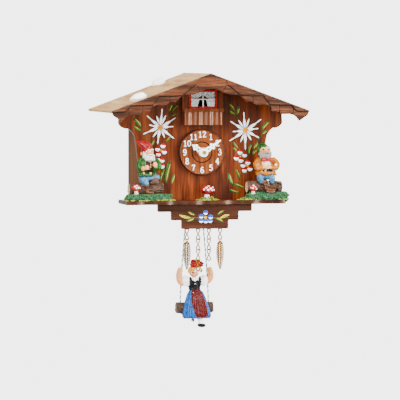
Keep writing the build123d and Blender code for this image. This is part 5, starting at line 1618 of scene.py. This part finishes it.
clay.blob("blue", (70.2, -99.4, -90.4), (9.4, 6.8, 4.0))
clay.limb("blue", (64.4, -101.6, -89.6, 4.2), (63.4, -103.8, -92.6, 3.9), (64.6, -104.8, -96.2, 2.6))
clay.limb("blue", (75.6, -101.6, -89.8, 4.2), (76.4, -103.8, -92.8, 3.9), (76.4, -104.6, -96.0, 2.8))
clay.limb(
    "boot", (64.8, -105.2, -97.6, 1.8), (68.0, -106.0, -96.6, 2.8), (71.0, -106.2, -98.4, 2.6),
    (72.4, -106.0, -101.0, 1.8),
)
clay.limb(
    "sole", (67.0, -108.0, -99.2, 0.8), (70.0, -108.6, -99.8, 0.8), (72.6, -107.8, -101.2, 0.7), lift=0.3,
)
clay.limb(
    "boot", (69.4, -105.6, -101.0, 2.2), (70.2, -106.4, -104.4, 2.6), (74.0, -107.0, -106.2, 2.8),
    (78.0, -107.0, -105.4, 2.2),
)
clay.limb(
    "sole", (69.6, -108.6, -107.2, 0.8), (74.0, -109.4, -108.2, 0.8), (78.6, -108.8, -107.4, 0.7), lift=0.3,
)
clay.log((48.6, 88.2), -99.2, -102.3, 6.3, "sawn", 5.9)
clay.limb(
    "bark", (83.0, -105.6, -97.4, 1.0), (86.4, -105.0, -98.0, 1.0), (87.6, -105.0, -102.0, 0.9),
    (85.4, -105.8, -105.4, 0.9), (82.6, -105.8, -103.0, 0.8), (83.8, -105.8, -100.6, 0.7),
)
turf_slab(
    clay, (52.0, 88.0, -110.8), (50.4, 88.4, -107.6), (52.4, 88.4, -115.4, 5.2),
    (19, 48.8, -113.0, 1.4, 2.4), (13, 50.6, -111.0, 2.7, 2.7),
)
clay.limb("turf", (88.0, -104.0, -109.2, 2.0), (92.0, -104.0, -109.6, 2.2), (93.8, -104.0, -112.0, 1.9))
toadstool(
    clay, (54.4, -106.4, -110.4), 7.0, 9.6,
    ((0.0, 0.85, 1.1), (-0.25, 0.05, 0.8), (0.62, -0.3, 0.8), (0.4, 0.45, 0.5), (-0.7, 0.2, 0.5)),
)
figure(clay, "seated_gnome_right", "case", "gnome_right", GNOME_VOXEL, RELIEFS)

# --- the middle mushroom and the turf it stands in
clay = Clay()
clay.limb("white", (3.0, -102.0, -116.0, 3.4), (3.0, -102.0, -111.0, 2.7), (3.6, -102.0, -105.6, 2.6))
clay.blob("white", (3.6, -102.0, -106.4), (5.2, 5.2, 1.4), lift=0.3)
clay.blob("red", (3.9, -102.0, -105.0), (7.9, 7.6, 5.4))
clay.blob("red", (3.9, -102.0, -106.6), (7.7, 7.4, 1.3))
cap_dots(
    clay, (3.9, -102.0, -105.0), (7.7, 7.3, 5.3), (
        (-0.35, 0.55, 1.0), (0.25, 0.35, 1.15), (0.62, 0.62, 0.8), (-0.7, 0.12, 0.9),
        (-0.15, 0.05, 0.8), (0.0, 0.85, 0.8), (0.72, 0.05, 0.8), (0.45, -0.02, 0.6),
    ), (0.6, 0.8), 0.25,
)
figure(clay, "middle_mushroom", "case", "mushroom", CAP_VOXEL)

turf_looks = [PAINTS["turf"], LOOKS["fern"]]
tufts = [
    ("turf_left", ((-90.0, -37.6), (-110.4, -104.5), -110.0), 900, 5),
    ("turf_right", ((46.4, 95.0), (-110.4, -104.5), -110.8), 850, 9),
]
for name, box, count, seed in tufts:
    piece(name, blades(name, box, count, seed, turf_looks), turf_looks, "case", finish="moss")


def moss_cushion(name, patches, count, seed, *replaced):
    """Dried moss: a heap of short curled fibres in greens and yellows."""
    random.seed(seed)
    build = bmesh.new()
    looks = [LOOKS["fern"], LOOKS["straw"], LOOKS["lime"], PAINTS["turf"]]
    for x, y, wide, deep, high in patches:
        for number in range(count):
            a = random.uniform(0, 2 * math.pi)
            out = math.sqrt(random.random())
            px, py = x + wide * out * math.cos(a), y + deep * out * math.sin(a)
            top = SHELF_Z + high * (1 - out * out) * random.uniform(0.35, 1.0)
            start = Vector((px, py, max(SHELF_Z + 0.1, top - 1.2)))
            bend = Vector((random.uniform(-1.2, 1.2), random.uniform(-1.2, 0.8), random.uniform(0.2, 1.0)))
            end = start + bend
            mid = (start + end) / 2 + Vector((random.uniform(-0.4, 0.4), random.uniform(-0.4, 0.4), 0.3))
            wire(build, [start, mid, end], [0.30, 0.28, 0.10], 5, index=number % 4)
    return piece(name, as_mesh(name, build), looks, "case", *replaced, finish="moss")


moss_cushion("moss_cushions", (
    (3.2, -106.8, 13.6, 5.2, 5.6), (-88.0, -107.0, 3.2, 3.6, 2.6), (-46.0, -110.6, 9.0, 2.4, 3.4),
    (-38.6, -108.4, 4.0, 3.6, 2.6),
    (43.0, -108.6, 7.0, 4.4, 4.0), (50.0, -111.0, 7.0, 2.0, 3.0), (-70.0, -111.8, 6.0, 1.2, 1.4),
    (88.0, -111.4, 6.0, 1.4, 1.6),
), 330, 21, "moss_tufts")


# --- the doll on the swing
SWING_Y = -52.0
clay = Clay()
clay.blob("skin", (-0.9, -54.6, -199.4), (5.6, 5.2, 5.4))
clay.blob("skin", (-1.4, -59.8, -200.3), (0.8, 0.8, 0.7))
clay.spot("blush", (-4.0, -59.0, -201.4), (1.3, 1.6, 1.0))
clay.spot("blush", (1.4, -59.2, -201.4), (1.3, 1.6, 1.0))
clay.spot("lips", (-0.6, -60.0, -203.0), (1.3, 1.5, 0.7))
clay.spot("eye", (-3.3, -59.4, -199.2), (1.1, 1.8, 0.9))
clay.spot("eye", (0.9, -59.6, -199.0), (1.1, 1.8, 0.9))
clay.blob("hair", (0.2, -53.8, -196.4), (7.4, 5.8, 4.2))
for k in range(7):
    clay.limb(
        "hair", (-5.8 + 1.9 * k, -56.4 - 1.6 * math.sin(math.pi * k / 6), -194.0, 1.1),
        (-6.2 + 2.0 * k, -58.0 - 1.4 * math.sin(math.pi * k / 6), -196.6, 0.9), steps=4, lift=0.2,
    )
clay.blob("hair", (7.6, -53.8, -197.6), (1.6, 1.8, 2.2))
clay.blob("hair", (-6.6, -53.8, -198.0), (1.1, 1.8, 2.6))
ROSES = (
    (-3.4, -56.4, -190.6, 2.9), (0.4, -57.0, -188.6, 3.2), (-2.6, -56.0, -187.2, 2.6),
    (3.2, -55.4, -187.4, 2.6),
    (6.6, -55.8, -190.0, 2.9), (4.4, -57.4, -191.6, 2.3), (-0.4, -58.2, -191.8, 2.0),
    (1.6, -54.0, -187.0, 2.4),
)
for x, y, z, r in ROSES:
    clay.blob("red", (x, y, z), (r, r * 0.85, r * 0.9), lift=0.2)
    for k in range(5):
        a = 2 * math.pi * k / 5 + x
        clay.blob(
            "red", (x + 0.75 * r * math.cos(a), y - 0.7 * r, z + 0.75 * r * math.sin(a)), r * 0.42,
            lift=0.3,
        )
clay.limb(
    "green", (2.6, -59.2, -187.8, 0.5), (4.0, -59.4, -189.4, 0.45), (4.4, -59.0, -191.4, 0.4), lift=0.25,
)
for k in range(6):
    a = math.radians(60 * k + 12)
    clay.blob(
        "white", (2.4 + 2.2 * math.cos(a), -59.9, -197.0 + 2.2 * math.sin(a)), (1.25, 0.7, 1.25), lift=0.28,
    )
clay.blob("yellow", (2.4, -60.6, -197.0), (0.95, 0.6, 0.95), lift=0.35)
clay.limb("skin", (-0.6, -54.0, -204.0, 2.2), (-0.4, -53.6, -207.0, 2.6))
clay.blob("white", (-0.3, -54.4, -207.2), (4.6, 3.6, 2.2))
clay.blob("black", (-0.4, -53.6, -213.8), (7.4, 5.6, 6.6), lift=0.25)
clay.blob("black", (-0.2, -53.6, -218.0), (6.6, 5.4, 4.0), lift=0.2)
clay.limb(
    "black", (-5.6, -56.6, -205.2, 1.1), (-5.4, -57.6, -209.0, 1.5), (-4.6, -58.4, -212.0, 1.6), lift=0.3,
)
clay.limb(
    "black", (5.0, -56.6, -204.8, 1.1), (5.0, -57.6, -209.0, 1.5), (4.2, -58.4, -212.0, 1.6), lift=0.3,
)
clay.spot("white", (-0.2, -60.0, -207.2), (3.3, 4.6, 2.3))
for x, z in ((-3.9, -212.2), (-0.4, -212.0), (3.9, -211.8)):
    clay.blob("silver", (x, -58.9, z), 0.6, lift=0.28)
for side, x, z in ((-1, -10.2, -209.4), (1, 10.2, -208.8)):
    clay.blob("white", (x, -53.6, z), (5.4, 4.8, 6.2), turn=(0, 20 * side, 0))
    for k in range(7):
        a = math.radians(200 + 23 * k)
        clay.limb(
            "white", (x + 3.2 * math.cos(a), -54 + 3.6 * math.sin(a), z + 3.5, 0.9),
            (x + 4.9 * math.cos(a), -54 + 4.5 * math.sin(a), z, 0.9),
            (x + 3.6 * math.cos(a), -54 + 3.6 * math.sin(a), z - 4.6, 0.8), steps=4,
        )
clay.limb(
    "skin", (-12.6, -54.2, -212.0, 2.8), (-16.6, -54.8, -209.8, 3.4), (-18.4, -55.0, -204.0, 3.3),
    (-18.0, -54.9, -198.4, 2.8),
)
clay.limb(
    "skin", (12.6, -54.2, -210.6, 2.8), (16.4, -54.8, -208.0, 3.4), (18.2, -55.0, -203.0, 3.3),
    (17.8, -54.9, -198.4, 2.8),
)
for side in (-1, 1):
    clay.blob("skin", (side * 17.2, -54.8, -196.2), (2.7, 2.0, 2.6), lift=0.2)
    for k in range(4):
        z = -194.6 - 1.2 * k
        clay.limb(
            "skin", (side * 18.4, -55.6, z, 0.66), (side * 16.0, -55.8, z, 0.66),
            (side * 14.4, -54.9, z, 0.55), steps=3, lift=0.2,
        )
SKIRT = (
    (-219.6, 0.5, 6.4, 5.2), (-222.0, 0.5, 8.4, 6.4), (-227.0, 0.6, 10.8, 8.2), (-234.0, 0.8, 13.2, 9.6),
    (-242.0, 1.2, 15.4, 10.4), (-247.6, 1.6, 16.4, 10.6), (-250.0, 1.6, 15.6, 9.8),
)
skirt = smooth_line(SKIRT, 7)
for z, x, wide, deep in skirt:
    clay.blob("deepblue", (x, -54.2 - 0.16 * (wide - 6), z), (wide, deep * 0.9, 1.5))
for k in range(15):
    a = math.radians(192 + 11.2 * k)
    pleat = []
    for z, x, wide, deep in SKIRT[1:]:
        y = -54.2 - 0.16 * (wide - 6) + (deep * 0.9 - 0.5) * math.sin(a)
        pleat.append((x + (wide - 0.5) * math.cos(a), y, z, 1.0 + 0.3 * (k % 2)))
    clay.limb("deepblue", *pleat, steps=7)
for z, x, wide, deep in skirt:
    down = (-219.0 - z) / 31.0
    if z > -248.0:
        clay.spot(
            "darkred", (x + 0.2 + 4.6 * down, -64.5, z),
            (7.2 + 1.6 * math.sin(math.pi * min(1.0, down)), 9.5, 1.9),
        )
# White strokes down the apron and two spots at its waist: painted highlights.
APRON_HIGHLIGHTS = (
    (-3.2, -235, 7), (-0.6, -238, 8), (2.2, -234, 9), (5.4, -236, 9), (8.4, -234, 8), (10.6, -237, 7),
)
for x, top, length in APRON_HIGHLIGHTS:
    for j in range(length * 2):
        wide = 0.24 + 0.16 * math.sin(math.pi * j / (2 * length))
        clay.spot("streak", (x + 0.07 * j, -66.0, top - 0.6 * j), (wide, 6.0, 0.8))
clay.spot("streak", (-3.0, -62.0, -221.6), (1.4, 3.0, 1.6))
clay.spot("streak", (3.2, -62.0, -221.6), (1.4, 3.0, 1.6))
clay.limb("white", (3.4, -58.6, -247.0, 2.8), (4.8, -59.6, -252.5, 2.6), (5.6, -60.2, -257.0, 2.1))
clay.limb(
    "black", (3.4, -61.0, -258.5, 1.9), (5.6, -62.4, -258.8, 2.1), (8.6, -63.4, -258.7, 1.9), lift=0.2,
)
figure(clay, "swing_doll", "swing", "doll", DOLL_VOXEL, RELIEFS)

clay = Clay()
low, high = low_high("swing_seat")
middle, half = (low.z + high.z) / 2, (high.z - low.z) / 2
clay.log((low.x + 0.2, high.x - 0.2), SWING_Y, middle, half - 0.5, "seat_end", 5.2)
figure(clay, "seat_log", "swing", "swing_seat", GNOME_VOXEL, RELIEFS, finish="log_bark")

# --- the knot of the tied cord, wound from the same two colours
low, high = low_high("tie_knot")
centre = (low + high) / 2
build = bmesh.new()
for number in range(4):
    points = []
    for step in range(36):
        a = 2 * math.pi * step / 36
        tilt = Euler((0.7 * number, 0.9 * number + 0.4, 1.3 * number)).to_matrix()
        around = Vector((1.55 * math.cos(a), 1.35 * math.sin(a), 0.35 * math.sin(2 * a)))
        points.append(centre + tilt @ around)
    wire(build, points, 0.55, 8, closed=True, index=number % 2)
piece("wound_knot", as_mesh("wound_knot", build), cord_looks, "swing", "tie_knot", finish="cord_twine")


# ------------------------------------------------------------------ stage
FLOOR_HALF, FLOOR_DROP = 6.0, 1.1
AMBIENT = 0.75
SCREEN = 4.5
SCREEN_WAY = (0.2255, 0.9730, -0.0485)
SCREEN_EDGE = (0.980, 0.988)  # cosines of the angles at which the screen starts and is full
AIM = (0.0, -0.1, -0.1)


def make_stage():
    floor_mesh = bpy.data.meshes.new("floor")
    build = bmesh.new()
    level = cad_low.z - FLOOR_DROP
    corners = ((-1, -1), (1, -1), (1, 1), (-1, 1))
    build.faces.new([build.verts.new((FLOOR_HALF * x, FLOOR_HALF * y, level)) for x, y in corners])
    build.to_mesh(floor_mesh)
    build.free()
    floor = bpy.data.objects.new("floor", floor_mesh)
    look = Look("pale_floor", Roughness=0.9)
    cloud = look.noise((0.004, 0.004, 0.004))
    tone = look.ramp(cloud, (0.3, (0.84, 0.84, 0.83)), (0.7, (0.88, 0.88, 0.87)))
    floor_mesh.materials.append(look.set(Base_Color=tone))
    bpy.context.scene.collection.objects.link(floor)


def make_world():
    """Dim soft light from all round, and a bright screen far behind the clock."""
    world = bpy.data.worlds.new("studio")
    world.use_nodes = True
    tree = world.node_tree
    shade = tree.nodes["Background"]
    shade.inputs["Color"].default_value = (1.0, 1.0, 1.0, 1.0)
    place = tree.nodes.new("ShaderNodeTexCoord")
    toward = tree.nodes.new("ShaderNodeVectorMath")
    toward.operation = "DOT_PRODUCT"
    toward.inputs[1].default_value = SCREEN_WAY
    tree.links.new(place.outputs["Generated"], toward.inputs[0])
    band = tree.nodes.new("ShaderNodeMapRange")
    band.interpolation_type = "SMOOTHSTEP"
    tree.links.new(toward.outputs["Value"], band.inputs["Value"])
    edge, full = SCREEN_EDGE
    for socket, value in (("From Min", edge), ("From Max", full), ("To Min", AMBIENT), ("To Max", SCREEN)):
        band.inputs[socket].default_value = value
    tree.links.new(band.outputs[0], shade.inputs["Strength"])
    bpy.context.scene.world = world


def soft_light(name, place, size, power):
    data = bpy.data.lights.new(name, "AREA")
    data.shape = "RECTANGLE"
    data.size, data.size_y = size
    data.energy = power
    lamp = bpy.data.objects.new(name, data)
    lamp.location = place
    lamp.rotation_euler = (Vector(AIM) - Vector(place)).to_track_quat("-Z", "Y").to_euler()
    bpy.context.scene.collection.objects.link(lamp)


make_stage()
make_world()
soft_light("left_box", (-1.25, -1.5, 0.55), (0.5, 1.0), 86.0)
soft_light("right_box", (1.35, -1.2, 0.35), (0.4, 1.0), 96.0)
soft_light("top_box", (0.1, -1.0, 1.3), (1.2, 0.5), 54.0)
